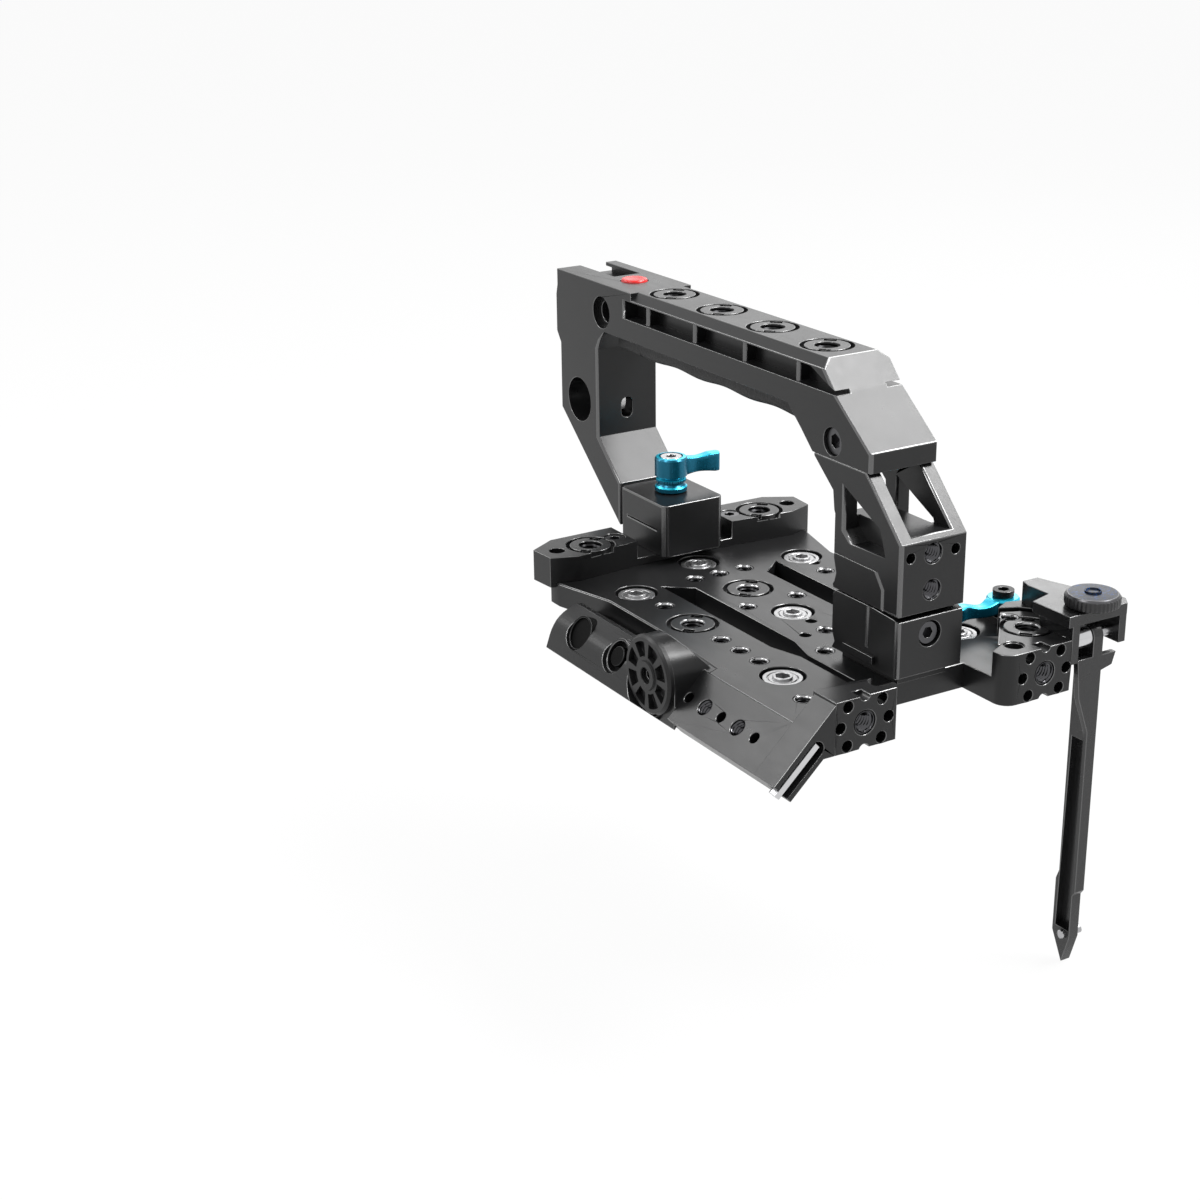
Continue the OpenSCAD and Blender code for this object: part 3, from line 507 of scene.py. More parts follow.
def turned(profile: Profile | np.ndarray, around: int, loop: bool = False,
           band: slice = slice(0), wave: np.ndarray | float = 0.0) -> Part:
    """A profile turned about z.

    The point at angle u of profile point (r, z) is (r cos u, r sin u, z). Over a band of the
    profile, r is first multiplied by 1 plus the wave at that angle.

    Args:
        profile: radius and height in millimetres, bottom to top.
        around: points round.
        loop: whether the profile is a closed loop, as of a ring.
        band: the profile points that the wave changes.
        wave: a number for each of the angles.

    Returns:
        The part, in millimetres.
    """
    points = np.array(profile, float)
    r = np.repeat(points[:, :1], around, axis=1)
    r[band] *= 1 + wave
    return rings_mesh(polar(r, angles(around), points[:, 1:]), loop)


def moved(part: Part, at: Point, axis: Point = (0, 0, 1)) -> Part:
    """A part turned so that its z lies along an axis, and set down at a point."""
    return part[0] @ basis(axis).T + np.array(at, float), part[1]


def loft(path: np.ndarray, half_w: np.ndarray, low: np.ndarray, high: np.ndarray, around: int,
         square: float = 0.3) -> Part:
    """A bar along a path in plan, with a rounded cross-section at each point.

    The cross-section is a superellipse that is stretched to the width and height at its point.

    Args:
        path: n by 2 plan points in millimetres.
        half_w: half width at each point.
        low: underside height at each point.
        high: top height at each point.
        around: points round the section.
        square: the section's exponent; a smaller one is squarer.

    Returns:
        The part.
    """
    along = np.gradient(path, axis=0)
    along /= np.linalg.norm(along, axis=1, keepdims=True)
    across = np.stack([-along[:, 1], along[:, 0]], -1)
    c, s = rounded(around, square)
    xy = path[:, None, :] + across[:, None, :] * (half_w[:, None] * c)[..., None]
    z = ((low + high) / 2)[:, None] + ((high - low) / 2)[:, None] * s
    return rings_mesh(np.concatenate([xy, z[..., None]], -1))


def join(parts: list[Part]) -> Part:
    """Several parts as one."""
    starts = np.cumsum([0] + [len(v) for v, _ in parts])
    return np.vstack([v for v, _ in parts]), np.vstack([f + n for (_, f), n in zip(parts, starts)])


def linked(name: str, data: Any) -> bpy.types.Object:
    """A new object of some data, in the scene.

    Args:
        name: the object's name.
        data: its mesh, camera or light.

    Returns:
        The object, at the origin.
    """
    made = bpy.data.objects.new(name, data)
    bpy.context.scene.collection.objects.link(made)
    return made


def piece(name: str, part: Part, look: Look, body: str = "frame", node: str = "",
          crease: float = 32.0, upper: Look | None = None) -> bpy.types.Object:
    """A new piece from vertices in millimetres.

    Args:
        name: the piece's name.
        part: its vertices in millimetres and triangles.
        look: its finish.
        body: the CAD body it rides on.
        node: the CAD node that it stands for, if any.
        crease: edges sharper than this many degrees stay sharp.
        upper: another finish for the faces that look up, a lighter one as painted light, or None.

    Returns:
        The object, at the origin.
    """
    verts, tris = part
    mesh = bpy.data.meshes.new(name)
    mesh.from_pydata((verts * MM).tolist(), [], tris.tolist())
    mesh.validate()
    made = linked(name, mesh)
    mesh.shade_smooth()
    mesh.set_sharp_from_angle(angle=radians(crease))
    mesh.materials.append(look.material())
    if upper:
        mesh.materials.append(upper.material())
        # Faces that look up get the second, lighter finish: painted light from above
        painted_lit_top = [int(side.normal.z > UP) for side in mesh.polygons]
        mesh.polygons.foreach_set("material_index", painted_lit_top)
    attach(made, body)
    if node:
        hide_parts(node)
    log.info("%s: %d triangles on %s", name, len(tris), body)
    return made


def weigh_edges(shape: bmesh.types.BMesh, narrow: float) -> None:
    """Sets each edge's shading by its bend, and a sharp outer edge's share of the chamfer's width.

    The share is 1 for a long edge between the left side and a face that looks to the rear.

    Args:
        shape: the mesh.
        narrow: the share of the other edges.
    """
    share = shape.edges.layers.float.new("bevel_weight_edge")
    limit = radians(SMOOTH_DEG)
    for line in shape.edges:
        bend = line.calc_face_angle(0.0) if line.is_manifold else 0.0
        line.smooth = bend < limit
        ways = [side.normal for side in line.link_faces]
        if bend <= limit or not line.is_convex:
            line[share] = 0.0
        elif (line.calc_length() > LONG_EDGE * MM and min(way.x for way in ways) < LEFT
                and min(way.y for way in ways) < REAR):
            line[share] = 1.0
        else:
            line[share] = narrow


def chamfer(made: bpy.types.Object, width: float, segments: int) -> None:
    """Adds the chamfer of the weighed edges, in the second finish, and evens the shading.

    Args:
        made: the piece.
        width: the width in millimetres of an edge with a share of 1.
        segments: faces across it.
    """
    bevel = made.modifiers.new("chamfer", "BEVEL")
    bevel.limit_method = "WEIGHT"
    bevel.width = width * MM
    bevel.segments = segments
    bevel.use_clamp_overlap = False
    # The chamfer's faces take the second finish, by default the black finish's brighter copy that
    # paints highlights
    bevel.material = 1
    evened = made.modifiers.new("evened", "WEIGHTED_NORMAL")
    evened.mode = "FACE_AREA"
    evened.weight = 90
    evened.keep_sharp = True


@dataclass
class Assembly:
    frame: dict

    def build(self) -> None:
        """Makes the pieces; each sub-assembly has its own."""
        raise NotImplementedError

    def housing(self, node: str, look: Look, body: str = "frame", edge: Look = Look.EDGE,
                width: float = WALL_EDGE, corner: float = 0.0) -> bpy.types.Object:
        """A finished copy of a CAD node, with its doubles merged and its outer edges chamfered.

        Args:
            node: the CAD node.
            look: the finish of its faces.
            body: the CAD body it rides on.
            edge: the finish of its chamfers; the default paints a highlight on them.
            width: the chamfer's width in millimetres.
            corner: the width in millimetres of the rounding between the left side and faces that
                look to the rear, or 0 for the same chamfer there.

        Returns:
            The new piece.
        """
        shape = bmesh.new()
        shape.from_mesh(self.frame["nodes"][node].data)
        bmesh.ops.remove_doubles(shape, verts=shape.verts, dist=WELD * MM)
        bmesh.ops.dissolve_limit(shape, angle_limit=radians(FLAT_DEG), verts=shape.verts,
                                 edges=shape.edges)
        many = [side for side in shape.faces if len(side.verts) > 4]
        bmesh.ops.triangulate(shape, faces=many, quad_method="BEAUTY", ngon_method="BEAUTY")
        weigh_edges(shape, width / corner if corner else 1.0)
        for side in shape.faces:
            side.smooth = True
        name = f"{node}_piece"
        mesh = bpy.data.meshes.new(name)
        shape.to_mesh(mesh)
        shape.free()
        made = linked(name, mesh)
        mesh.materials.append(look.material())
        mesh.materials.append(edge.material())
        mesh.polygons.foreach_set("material_index", np.zeros(len(mesh.polygons), int))
        chamfer(made, max(width, corner), segments=4 if corner else 2)
        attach(made, body)
        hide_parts(node)
        log.info("%s: %d faces on %s", name, len(mesh.polygons), body)
        return made


# Threads


@dataclass(frozen=True)
class Thread:
    """A threaded liner in a round hole: the bore, pitch, depth and ridge height in millimetres.

    The ridge starts at mouth under the hole's mouth. The grooves reach clear past the bore's
    radius, and the liner's outer side wall past it. The rim's steps are out from it and up.
    """

    bore: float
    pitch: float
    depth: float
    ridge: float
    around: ClassVar[int] = 30
    steps_per_turn: ClassVar[int] = 5
    mouth: ClassVar[float] = 0.35
    clear: ClassVar[float] = 0.02
    wall: ClassVar[float] = 0.2
    rim_around: ClassVar[int] = 48
    rim_steps: ClassVar[Profile] = ((0.1, -0.12), (-0.08, -0.14), (-0.3, -0.34), (-0.42, -0.62),
                                    (-0.48, -1.0), (-0.48, -1.25), (0.1, -1.25))

    def liner(self, at: Point, axis: Point = (0, 0, 1)) -> Part:
        """The thread as a closed ring with its mouth at a point.

        The inner radius at height z and angle u is the bore's less ridge times a triangle wave of
        z / pitch - u / (2 pi), which fades in over the first turn.

        Args:
            at: the middle of the mouth in millimetres.
            axis: the direction out of the hole.

        Returns:
            The part.
        """
        u = angles(self.around)
        steps = int(self.depth / self.pitch * self.steps_per_turn)
        z = -np.linspace(self.mouth, self.depth, steps)[:, None]
        wave = 1 - 2 * np.abs((z / self.pitch - u / (2 * pi)) % 1.0 - 0.5)
        lead = np.clip((-z - self.mouth) / self.pitch, 0, 1)
        inner = self.bore / 2 - self.ridge * wave * lead + self.clear
        outer = np.full((2, self.around), self.bore / 2 + self.wall)
        rings = polar(np.vstack([inner, outer]), u, np.vstack([z, z[-1:], z[:1]]))
        return moved(rings_mesh(rings, True), at, axis)

    def rim(self, at: Point, axis: Point = (0, 0, 1)) -> Part:
        """The rounded lead-in at a hole's mouth, in a painted highlight, with liner's arguments."""
        profile = np.array(self.rim_steps) + (self.bore / 2, 0)
        return moved(turned(profile, self.rim_around, loop=True), at, axis)


# Pitches of the two camera threads
FINE, COARSE = 1.27, 1.59
QUARTER = Thread(6.6, FINE, 7.2, 0.62)
THREE_EIGHTHS = Thread(9.6, COARSE, 7.2, 0.78)
BLOCK_END = Thread(7.9, FINE, 8.6, 0.85)
SLOPE_HOLE = Thread(6.6, FINE, 5.0, 0.62)
HANDLE_RING = Thread(9.6, COARSE, 9.6, 0.78)
RISER_REAR = Thread(8.0, FINE, 9.0, 0.8)


# Sub-assemblies


@dataclass
class TopPlate(Assembly):
    """The slotted top plate, its screws, the rail under the riser and the threaded holes."""

    top: float = 10.0
    block_top: float = 19.9
    quarters: tuple = ((-40.3, -9.5), (-40.3, -22.5), (-40.3, -35), (-39.2, 32.4), (-47.3, -72.6),
                       (-12, 52), (0, 52), (12.5, 52), (-12, 14), (12, 14), (-0.9, -23),
                       (-13.8, -40), (38.7, 31), (40.3, -9.5), (40.3, -22.5), (40.3, -35))
    threes: tuple = ((-40.2, 10.5), (40.2, 10.5), (0, 31))
    block_three: tuple[float, float] = (49, -80.6)
    block_quarter: tuple[float, float] = (49.9, -69.5)
    blocks: tuple[float, float] = (-41.0, 41.0)
    block_rear: float = 100.1
    ring_z: float = 9.8

    def mouths(self) -> list[tuple[Thread, Point]]:
        """The threaded holes that open upward.

        Returns:
            Each hole's thread and the middle of its mouth.
        """
        found = [(QUARTER, (x, y, self.top)) for x, y in self.quarters]
        found += [(THREE_EIGHTHS, (x, y, self.top)) for x, y in self.threes]
        found.append((THREE_EIGHTHS, (*self.block_three, self.block_top)))
        found.append((QUARTER, (*self.block_quarter, self.block_top)))
        return found

    def build(self) -> None:
        """Makes the plate, its screws, the rail under the riser and the threads."""
        self.housing("top_plate", Look.BLACK, width=BODY_EDGE)
        self.housing("plate_screws", Look.DISC, edge=Look.DISC, width=SMALL_EDGE)
        self.housing("rear_rail", Look.DARK, width=SCREW_EDGE)
        mouths = self.mouths()
        # The upward holes' threads take the darker copy: painted shade inside the holes
        piece("plate_threads", join([thread.liner(at) for thread, at in mouths]), Look.SHADED_THREAD)
        # The rims' bright colour is a painted highlight on each hole's chamfer
        piece("plate_rims", join([thread.rim(at) for thread, at in mouths]), Look.RIM_HIGHLIGHT)
        ends = [BLOCK_END.liner((x, -self.block_rear, self.ring_z), REARWARD) for x in self.blocks]
        piece("block_threads", join(ends), Look.THREAD)


@dataclass
class SideSkirt(Assembly):
    """The sloped left side with its rosette, ports and stowed hex key."""

    slope_top: tuple[float, float] = (-62.6, 10.0)
    slope_deg: float = 43.2
    hole_down: float = 11.5
    holes: tuple[float, float] = (-44.8, -65.8)
    rosette_at: Point = (-75.4, -16.2, 6.0)
    rosette_around: int = 320
    face_z: float = 2.6
    face_radii: tuple = (3.1, 3.3, 4.6, 5.5, 5.8, 6.4, 7.2, 7.5, 7.6, 8.4, 9.6, 10.8, 12.0, 12.6,
                         12.7, 13.0, 13.6, 14.4)
    rim: Profile = ((15.4, 1.7), (15.5, 1.5), (15.5, 0.02), (3.1, 0.02))
    hub_r: float = 5.6
    hub_z: float = 3.3
    hub_lip_r: float = 3.2
    hub_lip: float = 0.3
    pockets: int = 8
    pocket_radii: tuple[float, float] = (7.4, 12.9)
    pocket_half_deg: float = 15.5
    pocket_wall: float = 0.16
    pocket_deep: float = 2.1

    def on_slope(self, y: float) -> tuple[Point, Point]:
        """The mouth of a hole in the sloped panel.

        Args:
            y: its place along the panel.

        Returns:
            The middle of the mouth and the panel's direction outward.
        """
        a = radians(self.slope_deg)
        x, z = self.slope_top
        return (x - self.hole_down * cos(a), y, z - self.hole_down * sin(a)), (-sin(a), 0, cos(a))

    def rosette(self) -> Part:
        """The rosette disc: a flat face with a chamfered rim, wide pockets and a raised hub ring.

        The face is a grid of radius and angle. Its height is face_z, and hub_z within hub_r, less
        hub_lip at the bore and pocket_deep in a pocket, which is a wedge between two radii whose
        walls slant over pocket_wall.

        Returns:
            The part, with its back on z = 0.
        """
        u = angles(self.rosette_around)
        r = np.array(self.face_radii)[:, None]
        step = 2 * pi / self.pockets
        off_middle = np.abs(u / step % 1.0 - 0.5) * step
        inner, outer = self.pocket_radii
        across = (radians(self.pocket_half_deg) - off_middle) * r
        inside = np.minimum(np.minimum(r - inner, outer - r), across)
        z = self.face_z - self.pocket_deep * np.clip(inside / self.pocket_wall, 0, 1)
        z = np.where(r < self.hub_r, self.hub_z, z) - np.where(r < self.hub_lip_r, self.hub_lip, 0)
        low = np.array(self.rim)
        rings = [polar(r, u, z), polar(low[:, :1], u, low[:, 1:])]
        return rings_mesh(np.concatenate(rings), True)

    def build(self) -> None:
        """Makes the skirt and what sits on it."""
        self.housing("side_skirt", Look.BLACK)
        self.housing("hex_key", Look.KEY, "key", edge=Look.BRIGHT, width=SCREW_EDGE)
        self.housing("rosette_screw", Look.OXIDE, width=SCREW_EDGE)
        disc = moved(self.rosette(), self.rosette_at, LEFTWARD)
        piece("rosette_piece", disc, Look.DARK, "frame", "rosette", crease=24)
        self.housing("skirt_port", Look.BLACK, width=PORT_EDGE)
        self.housing("skirt_plug", Look.MATT, edge=Look.BLACK, width=PORT_EDGE)
        threads = join([SLOPE_HOLE.liner(*self.on_slope(y)) for y in self.holes])
        piece("skirt_threads", threads, Look.THREAD)


@dataclass
class FrontClamp(Assembly):
    """The front bar, and the clamp block with its cyan lever."""

    bar_holes: tuple[float, float] = (-42.6, 42.6)
    bar_hole_y: float = 85.0
    bar_top: float = 21.0
    block_edge: float = 0.4
    block_round: float = 1.8
    hub_y: float = 89.4
    base: float = 36.3
    hub_around: int = 144
    hub_outline: Profile = (
        (3.6, 0.0), (6.4, 0.0), (6.9, 0.4), (6.9, 2.0), (6.2, 2.6), (5.7, 3.4), (5.7, 4.0),
        (6.3, 4.4), (6.3, 5.3), (5.7, 5.7), (6.2, 6.3), (6.9, 6.9), (6.9, 14.2), (6.4, 14.9),
        (5.1, 15.1), (5.0, 11.9), (3.6, 11.8))
    hub_band: tuple[int, int] = (7, 9)
    ribs: int = 36
    rib: float = 0.02
    turn_deg: float = -6.5
    span: tuple[float, float] = (5.6, 22.6)
    blade_steps: int = 26
    blade_around: int = 32
    blade_half: float = 2.8
    waist: float = 0.5
    blade_z: tuple[float, float] = (42.4, 50.6)
    thinner: float = 0.8

    def hub(self) -> Part:
        """The lever's hub: a flange, a ribbed band and a waist, turned about z.

        The band's radius is multiplied by 1 + rib cos(ribs u).

        Returns:
            The part.
        """
        wave = self.rib * np.cos(self.ribs * angles(self.hub_around))
        hub = turned(self.hub_outline, self.hub_around, True, slice(*self.hub_band), wave)
        return moved(hub, (0, self.hub_y, self.base))

    def blade(self) -> Part:
        """The lever's blade: a bar that narrows and thins behind the hub, with a rounded end.

        Along t of 0 to 1, the half width is blade_half less waist times a hump's square, and top
        and underside come nearer to each other by thinner times a hump.

        Returns:
            The part.
        """
        t = np.linspace(0, 1, self.blade_steps)
        path = way_out((0, self.hub_y), self.span, self.turn_deg, t)
        half = (self.blade_half - self.waist * hump(t, 1.5) ** 2) * tip(t)
        low = self.blade_z[0] + self.thinner * hump(t, 1.2)
        high = self.blade_z[1] - self.thinner * hump(t, 1.4)
        return loft(path, half, low, high, self.blade_around)

    def build(self) -> None:
        """Makes the bar, the block and the lever."""
        self.housing("front_bar", Look.BLACK, width=BODY_EDGE)
        self.housing("bar_screws", Look.OXIDE, width=SCREW_EDGE)
        self.housing("clamp_block", Look.BLACK, width=self.block_edge, corner=self.block_round)
        self.housing("clamp_screw", Look.STEEL, edge=Look.BRIGHT, width=SCREW_EDGE)
        lever = join([self.hub(), self.blade()])
        # The lever's upper faces are painted a lighter cyan as a painted highlight
        piece("clamp_lever_piece", lever, Look.CYAN, "lever", "clamp_lever", crease=28,
              upper=Look.CYAN_LIT_TOP)
        threads = [THREE_EIGHTHS.liner((x, self.bar_hole_y, self.bar_top)) for x in self.bar_holes]
        # The upward holes' threads take the darker copy: painted shade inside the holes
        piece("bar_threads", join(threads), Look.SHADED_THREAD)


@dataclass
class Handle(Assembly):
    """The long top handle with its grip, red button and rod knob."""

    top: float = 121.2
    beam: float = 100.7
    rear_round: float = 1.3
    switch_edge: float = 0.1
    ring_front: float = 86.4
    ring_step: float = 34.83
    ring_count: int = 4
    grip_half: float = 8.7
    grip_span: tuple[float, float] = (-20.5, 117.0)
    grip_steps: int = 110
    grip_around: int = 36
    grip_square: float = 0.4
    grip_low: float = 8.1
    grip_wave: float = 0.5
    wave_y: float = 91.0
    pocket: tuple[float, float] = (-10.0, 100.0)
    pocket_deep: float = 3.9
    pocket_edge: float = 0.05
    under_beam: float = 0.35
    beam_end: float = -13.6
    end_drop: float = 0.946
    knob_at: Point = (0, 134, 41.35)
    knob_deg: float = 220.6
    knob_around: int = 144
    knob_outline: Profile = ((3.0, -9.0), (3.0, 0.3), (8.6, 0.3), (9.6, 0.9), (9.9, 1.8),
                             (9.9, 5.8), (9.5, 6.8), (8.8, 7.2), (5.4, 7.2), (5.0, 6.7),
                             (3.0, 6.7))
    knob_band: tuple[int, int] = (3, 8)
    scallops: int = 12
    scallop: float = 0.09
    button_y: float = 118.0
    button_around: int = 64
    button_outline: Profile = ((5.7, -5.0), (5.7, -1.0), (5.6, -0.9), (5.6, 0.2), (5.3, 0.75),
                               (4.8, 0.95), (4.2, 0.9), (3.2, 0.7), (2.0, 0.55), (0.8, 0.45))

    def grip(self) -> Part:
        """The rubber grip: a rounded section whose underside waves along the handle.

        The underside is grip_low below the beam, and grip_wave times a cosine with the ring holes'
        period lower. The top fills the beam's pocket, lies under_beam below the beam elsewhere, and
        drops with the beam's end by end_drop of the distance behind it.

        Returns:
            The part.
        """
        rear, front = self.pocket
        e = self.pocket_edge
        y = np.sort(np.concatenate([np.linspace(*self.grip_span, self.grip_steps),
                                    [rear - e, rear + e, front - e, front + e]]))
        low = -self.grip_low - self.grip_wave * np.cos((y - self.wave_y) * 2 * pi / self.ring_step)
        outside = -self.under_beam - self.end_drop * np.maximum(self.beam_end - y, 0)
        high = np.where((y > rear) & (y < front), self.pocket_deep, outside)
        c, s = rounded(self.grip_around, self.grip_square)
        z = self.beam + ((low + high) / 2)[:, None] + ((high - low) / 2)[:, None] * s
        return rings_mesh(np.stack(np.broadcast_arrays(self.grip_half * c, y[:, None], z), -1))

    def knob(self) -> Part:
        """The rod screw and its knob, with rounded scallops round the knob.

        The knob's radius is multiplied by 1 less scallop times |cos(scallops u / 2)|^6.

        Returns:
            The part.
        """
        u = angles(self.knob_around)
        wave = -self.scallop * np.abs(np.cos(self.scallops / 2 * u)) ** 6
        a = radians(self.knob_deg)
        knob = turned(self.knob_outline, self.knob_around, False, slice(*self.knob_band), wave)
        return moved(knob, self.knob_at, (0.0, -sin(a), cos(a)))

    def build(self) -> None:
        """Makes the handle and what it carries."""
        self.housing("handle_frame", Look.BLACK, width=BODY_EDGE, corner=self.rear_round)
        piece("finger_grip_piece", self.grip(), Look.RUBBER, "frame", "finger_grip", crease=50)
        button = turned(self.button_outline, self.button_around)
        button = moved(button, (0, self.button_y, self.top))
        piece("record_button_piece", button, Look.RED, "button", "record_button", crease=50)
        self.housing("button_switch", Look.DARK, width=self.switch_edge)
        self.housing("handle_pins", Look.DARK, width=SCREW_EDGE)
        self.housing("side_screw", Look.OXIDE, width=SCREW_EDGE)
        piece("rod_screw_piece", self.knob(), Look.CYAN, "rod_knob", "rod_screw", crease=30)
        rings = [self.ring_front - i * self.ring_step for i in range(self.ring_count)]
        threads = join([HANDLE_RING.liner((0, y, self.top)) for y in rings])
        # The upward holes' threads take the darker copy: painted shade inside the holes
        piece("handle_threads", threads, Look.SHADED_THREAD)


@dataclass
class Riser(Assembly):
    """The riser that carries the rear of the handle, with its joint and foot."""

    rear: float = 83.6
    holes: tuple[float, float] = (59.2, 45.4)
    rear_round: float = 1.6

    def build(self) -> None:
        """Makes the riser's three pieces, the foot's screw and the rear threads."""
        self.housing("riser", Look.BLACK, width=BODY_EDGE, corner=self.rear_round)
        self.housing("riser_joint", Look.DARK, corner=self.rear_round)
        self.housing("riser_foot", Look.BLACK, width=BODY_EDGE, corner=self.rear_round)
        self.housing("foot_screw", Look.OXIDE, width=SCREW_EDGE)
        threads = join([RISER_REAR.liner((0, -self.rear, z), REARWARD) for z in self.holes])
        piece("riser_threads", threads, Look.THREAD)


@dataclass
class RightPad(Assembly):
    """The cyan locking lever on the right of the plate."""

    x: float = 64.0
    y: float = -50.0
    seat: float = 13.0
    hub_around: int = 72
    hub_outline: Profile = ((3.06, 0.0), (6.0, 0.0), (6.5, 0.5), (6.5, 5.6), (5.9, 6.35),
                            (3.06, 6.4))
    turn_deg: float = 181.0
    span: tuple[float, float] = (4.6, 24.4)
    swerve: float = 1.1
    blade_steps: int = 32
    blade_around: int = 28
    blade_half: float = 3.4
    waist: float = 1.0
    blade_z: tuple[float, float] = (0.6, 6.2)
    dip: float = 1.3

    def lever(self) -> Part:
        """The lever: a turned hub and an S-shaped blade that dips and rises along its length.

        Along t of 0 to 1, the blade lies swerve sin(2 pi t) to the left, its half width is
        blade_half less waist times a hump's square, and its top dips by dip times a hump's square.

        Returns:
            The part.
        """
        hub = turned(self.hub_outline, self.hub_around, loop=True)
        hub = moved(hub, (self.x, self.y, self.seat))
        t = np.linspace(0, 1, self.blade_steps)
        bend = self.swerve * np.sin(2 * pi * t)
        path = way_out((self.x, self.y), self.span, self.turn_deg, t, bend)
        half = (self.blade_half - self.waist * hump(t) ** 2) * tip(t)
        low = np.full(len(t), self.seat + self.blade_z[0])
        high = self.seat + self.blade_z[1] - self.dip * hump(t, 1.3) ** 2
        return join([hub, loft(path, half, low, high, self.blade_around)])

    def build(self) -> None:
        """Makes the lever and its screw."""
        self.housing("pad_screw", Look.DARK, width=SCREW_EDGE)
        # The lever's upper faces are painted a lighter cyan as a painted highlight
        piece("pad_lever_piece", self.lever(), Look.CYAN, "pad_handle", "pad_lever", crease=28,
              upper=Look.CYAN_LIT_TOP)


@dataclass
class FoldingArm(Assembly):
    """The hinge, the folding arm and the round knob that locks it."""

    knob_at: Point = (66.8, -95.25, 29.6)
    radius: float = 10.5
    drum_around: int = 240
    drum_band: tuple[int, int] = (3, 7)
    ring_around: int = 96
    ring_steps: Profile = ((-1.2, 4.0), (-0.45, 4.0), (-0.6, 4.5), (-1.1, 5.0), (-1.5, 5.0),
                           (-1.5, 4.0))
    ribs: int = 40
    rib: float = 0.012
    inlay_outline: Profile = ((9.1, 4.2), (9.1, 5.0), (5.0, 5.2), (3.2, 5.25), (3.1, 5.8),
                              (2.7, 5.9), (2.4, 5.3))

    def knob(self) -> Part:
        """The knob's body: a ribbed drum on a stem.

        The drum's radius is multiplied by 1 + rib cos(ribs u).

        Returns:
            The part.
        """
        r = self.radius
        outline = ((3.0, -4.7), (3.0, 0.0), (r - 1.4, 0.0), (r - 0.5, 0.5), (r - 0.2, 1.2),
                   (r - 0.2, 3.6), (r - 0.4, 4.1), (r - 1.0, 4.3), (7.3, 4.3), (7.3, 4.0))
        wave = self.rib * np.cos(self.ribs * angles(self.drum_around))
        drum = turned(outline, self.drum_around, False, slice(*self.drum_band), wave)
        return moved(drum, self.knob_at)

    def ring(self) -> Part:
        """The bright chamfered ring between the drum and the inlay, turned about z."""
        outline = np.array(self.ring_steps) + (self.radius, 0)
        return moved(turned(outline, self.ring_around, loop=True), self.knob_at)

    def inlay(self) -> Part:
        """The inlaid disc with its small raised middle, turned about z."""
        return moved(turned(self.inlay_outline, self.ring_around), self.knob_at)

    def build(self) -> None:
        """Makes the hinge, the arm and the knob."""
        self.housing("hinge_frame", Look.SATIN)
        self.housing("hinge_pin", Look.STEEL, edge=Look.BRIGHT, width=SCREW_EDGE)
        self.housing("side_arm", Look.SATIN, "arm")
        self.housing("stop_pin", Look.STEEL, "arm", edge=Look.BRIGHT, width=SMALL_EDGE)
        self.housing("arm_nut", Look.BRIGHT, edge=Look.BRIGHT, width=SMALL_EDGE)
        piece("arm_knob_piece", self.knob(), Look.PLASTIC, "knob", "arm_knob")
        piece("knob_ring", self.ring(), Look.OXIDE, "knob")
        piece("knob_cap_piece", self.inlay(), Look.INLAY, "knob", "knob_cap")


# Studio


@dataclass(frozen=True)
class Lamp:
    """A square soft lamp: its direction from the cage, distance and side in metres, brightness."""

    way: Point
    distance: float
    side: float
    bright: float


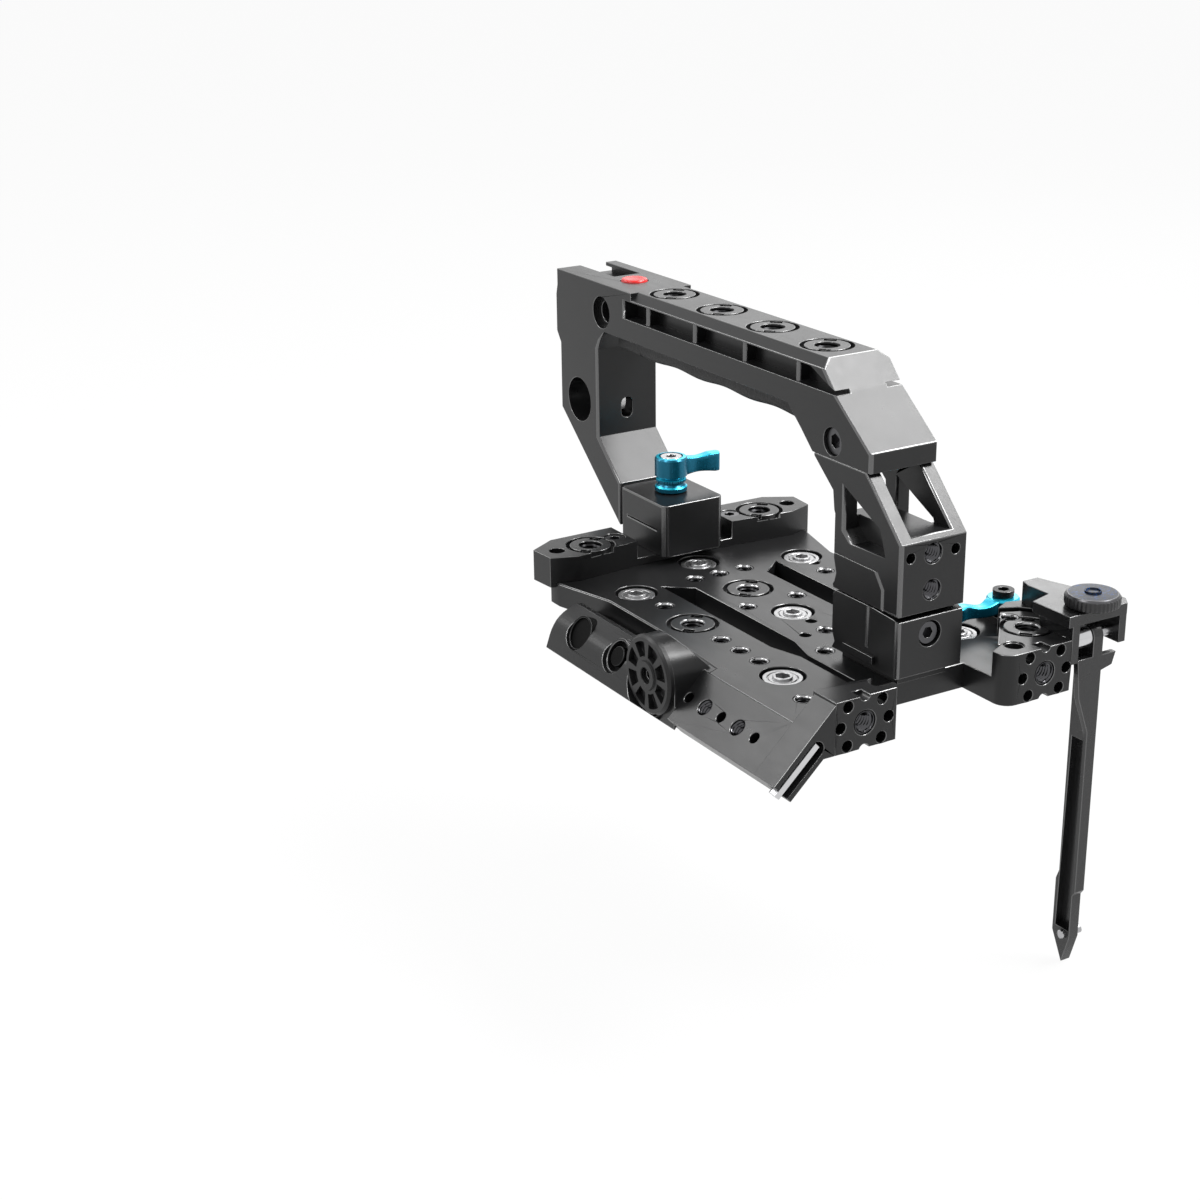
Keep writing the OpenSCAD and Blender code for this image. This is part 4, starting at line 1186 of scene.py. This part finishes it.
@dataclass
class Studio:
    """The camera at the photograph's angle, a pale floor and plain soft light.

    The floor's half side, its fibres' size and the lamps' aim are metres.
    """

    position: Point = (-449.93, -619.02, 305.05)
    right: Point = (0.860585, -0.509122, -0.013722)
    down: Point = (-0.191785, -0.298985, -0.934787)
    ahead: Point = (0.471818, 0.807095, -0.354944)
    lens: float = 62.07
    sensor: float = 36.0
    clip: tuple[float, float] = (0.01, 60.0)
    floor_z: float = -121.2
    floor_half: float = 14.0
    floor_glow: float = 0.94
    fibre_size: float = 0.003
    world_glow: float = 0.35
    aim: Point = (0, 0, 0.04)
    lamps: tuple[Lamp, ...] = (
        Lamp((0.546, -0.078, 0.834), 1.3, 0.62, 13.5),
        Lamp((0.48, -0.42, 0.77), 1.3, 0.34, 32.0),
        Lamp((-0.68, -0.05, 0.73), 1.4, 0.35, 14.0),
        Lamp((-0.50, 0.62, 0.60), 1.3, 0.45, 7.0),
        Lamp((0.56, 0.72, 0.43), 1.7, 0.60, 1.2),
        Lamp((0.704, 0.619, 0.348), 1.7, 0.34, 3.0),
    )

    def camera(self) -> None:
        """Sets the camera from its three directions."""
        data = bpy.data.cameras.new("photo_camera")
        data.lens, data.sensor_width, data.sensor_fit = self.lens, self.sensor, "HORIZONTAL"
        data.clip_start, data.clip_end = self.clip
        eye = linked("photo_camera", data)
        axes = np.column_stack([self.right, -np.array(self.down), -np.array(self.ahead)])
        turn = Matrix(axes.tolist()).to_4x4()
        eye.matrix_world = Matrix.Translation(Vector(self.position) * MM) @ turn
        bpy.context.scene.camera = eye

    def light(self) -> None:
        """Sets the soft area lamps, each turned to the cage.

        A lamp's power is its brightness times pi times its area.
        """
        aim = Vector(self.aim)
        for number, lamp in enumerate(self.lamps):
            data = bpy.data.lights.new(f"softbox_{number}", "AREA")
            data.shape, data.size = "SQUARE", lamp.side
            data.energy = lamp.bright * pi * lamp.side * lamp.side
            made = linked(f"softbox_{number}", data)
            spot = Vector(lamp.way).normalized() * lamp.distance + aim
            turn = (spot - aim).to_track_quat("Z", "Y")
            made.matrix_world = Matrix.Translation(spot) @ turn.to_matrix().to_4x4()

    def world(self) -> None:
        """A world that the camera and glossy rays see as white, and that lights more softly."""
        world = bpy.data.worlds.new("studio_world")
        bpy.context.scene.world = world
        graph = Graph(world)
        soft, white = (graph.node("ShaderNodeBackground", inputs={
            "Color": (1.0, 1.0, 1.0), "Strength": glow}) for glow in (self.world_glow, 1.0))
        graph.ended(graph.mixed(graph.seen(), soft, white), "ShaderNodeOutputWorld")

    def floor(self) -> None:
        """A wide pale floor under the lowest point of the arm.

        The camera and glossy rays see it glow as white paper.
        """
        mesh = bpy.data.meshes.new("floor")
        s, z = self.floor_half, self.floor_z * MM
        mesh.from_pydata([(-s, -s, z), (s, -s, z), (s, s, z), (-s, s, z)], [], [(0, 1, 2, 3)])
        ground = linked("floor", mesh)
        graph = Graph(bpy.data.materials.new("floor_paper"))
        fibre = graph.noise(self.fibre_size, 3.0)
        tone = graph.blend(fibre, (0.86, 0.86, 0.86), (0.90, 0.90, 0.90))
        paper = graph.principled(Base_Color=tone, Roughness=0.9, Specular_IOR_Level=0.0)
        white = graph.node("ShaderNodeEmission",
                           inputs={"Color": (1.0, 1.0, 1.0), "Strength": 1.0})
        mesh.materials.append(graph.ended(
            graph.mixed(graph.seen() * self.floor_glow, paper, white)))

    def build(self) -> None:
        """Sets up the whole studio."""
        self.camera()
        self.light()
        self.world()
        self.floor()
        bpy.context.scene.view_settings.view_transform = "Standard"


def main() -> None:
    """Builds the cage's sub-assemblies in order."""
    logging.basicConfig(level=logging.INFO, format="%(name)s: %(message)s")
    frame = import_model()
    for kind in (TopPlate, SideSkirt, FrontClamp, Handle, Riser, RightPad, FoldingArm):
        kind(frame).build()
        log.info("%s is done", kind.__name__)
    Studio().build()


if __name__ == "__main__":
    main()
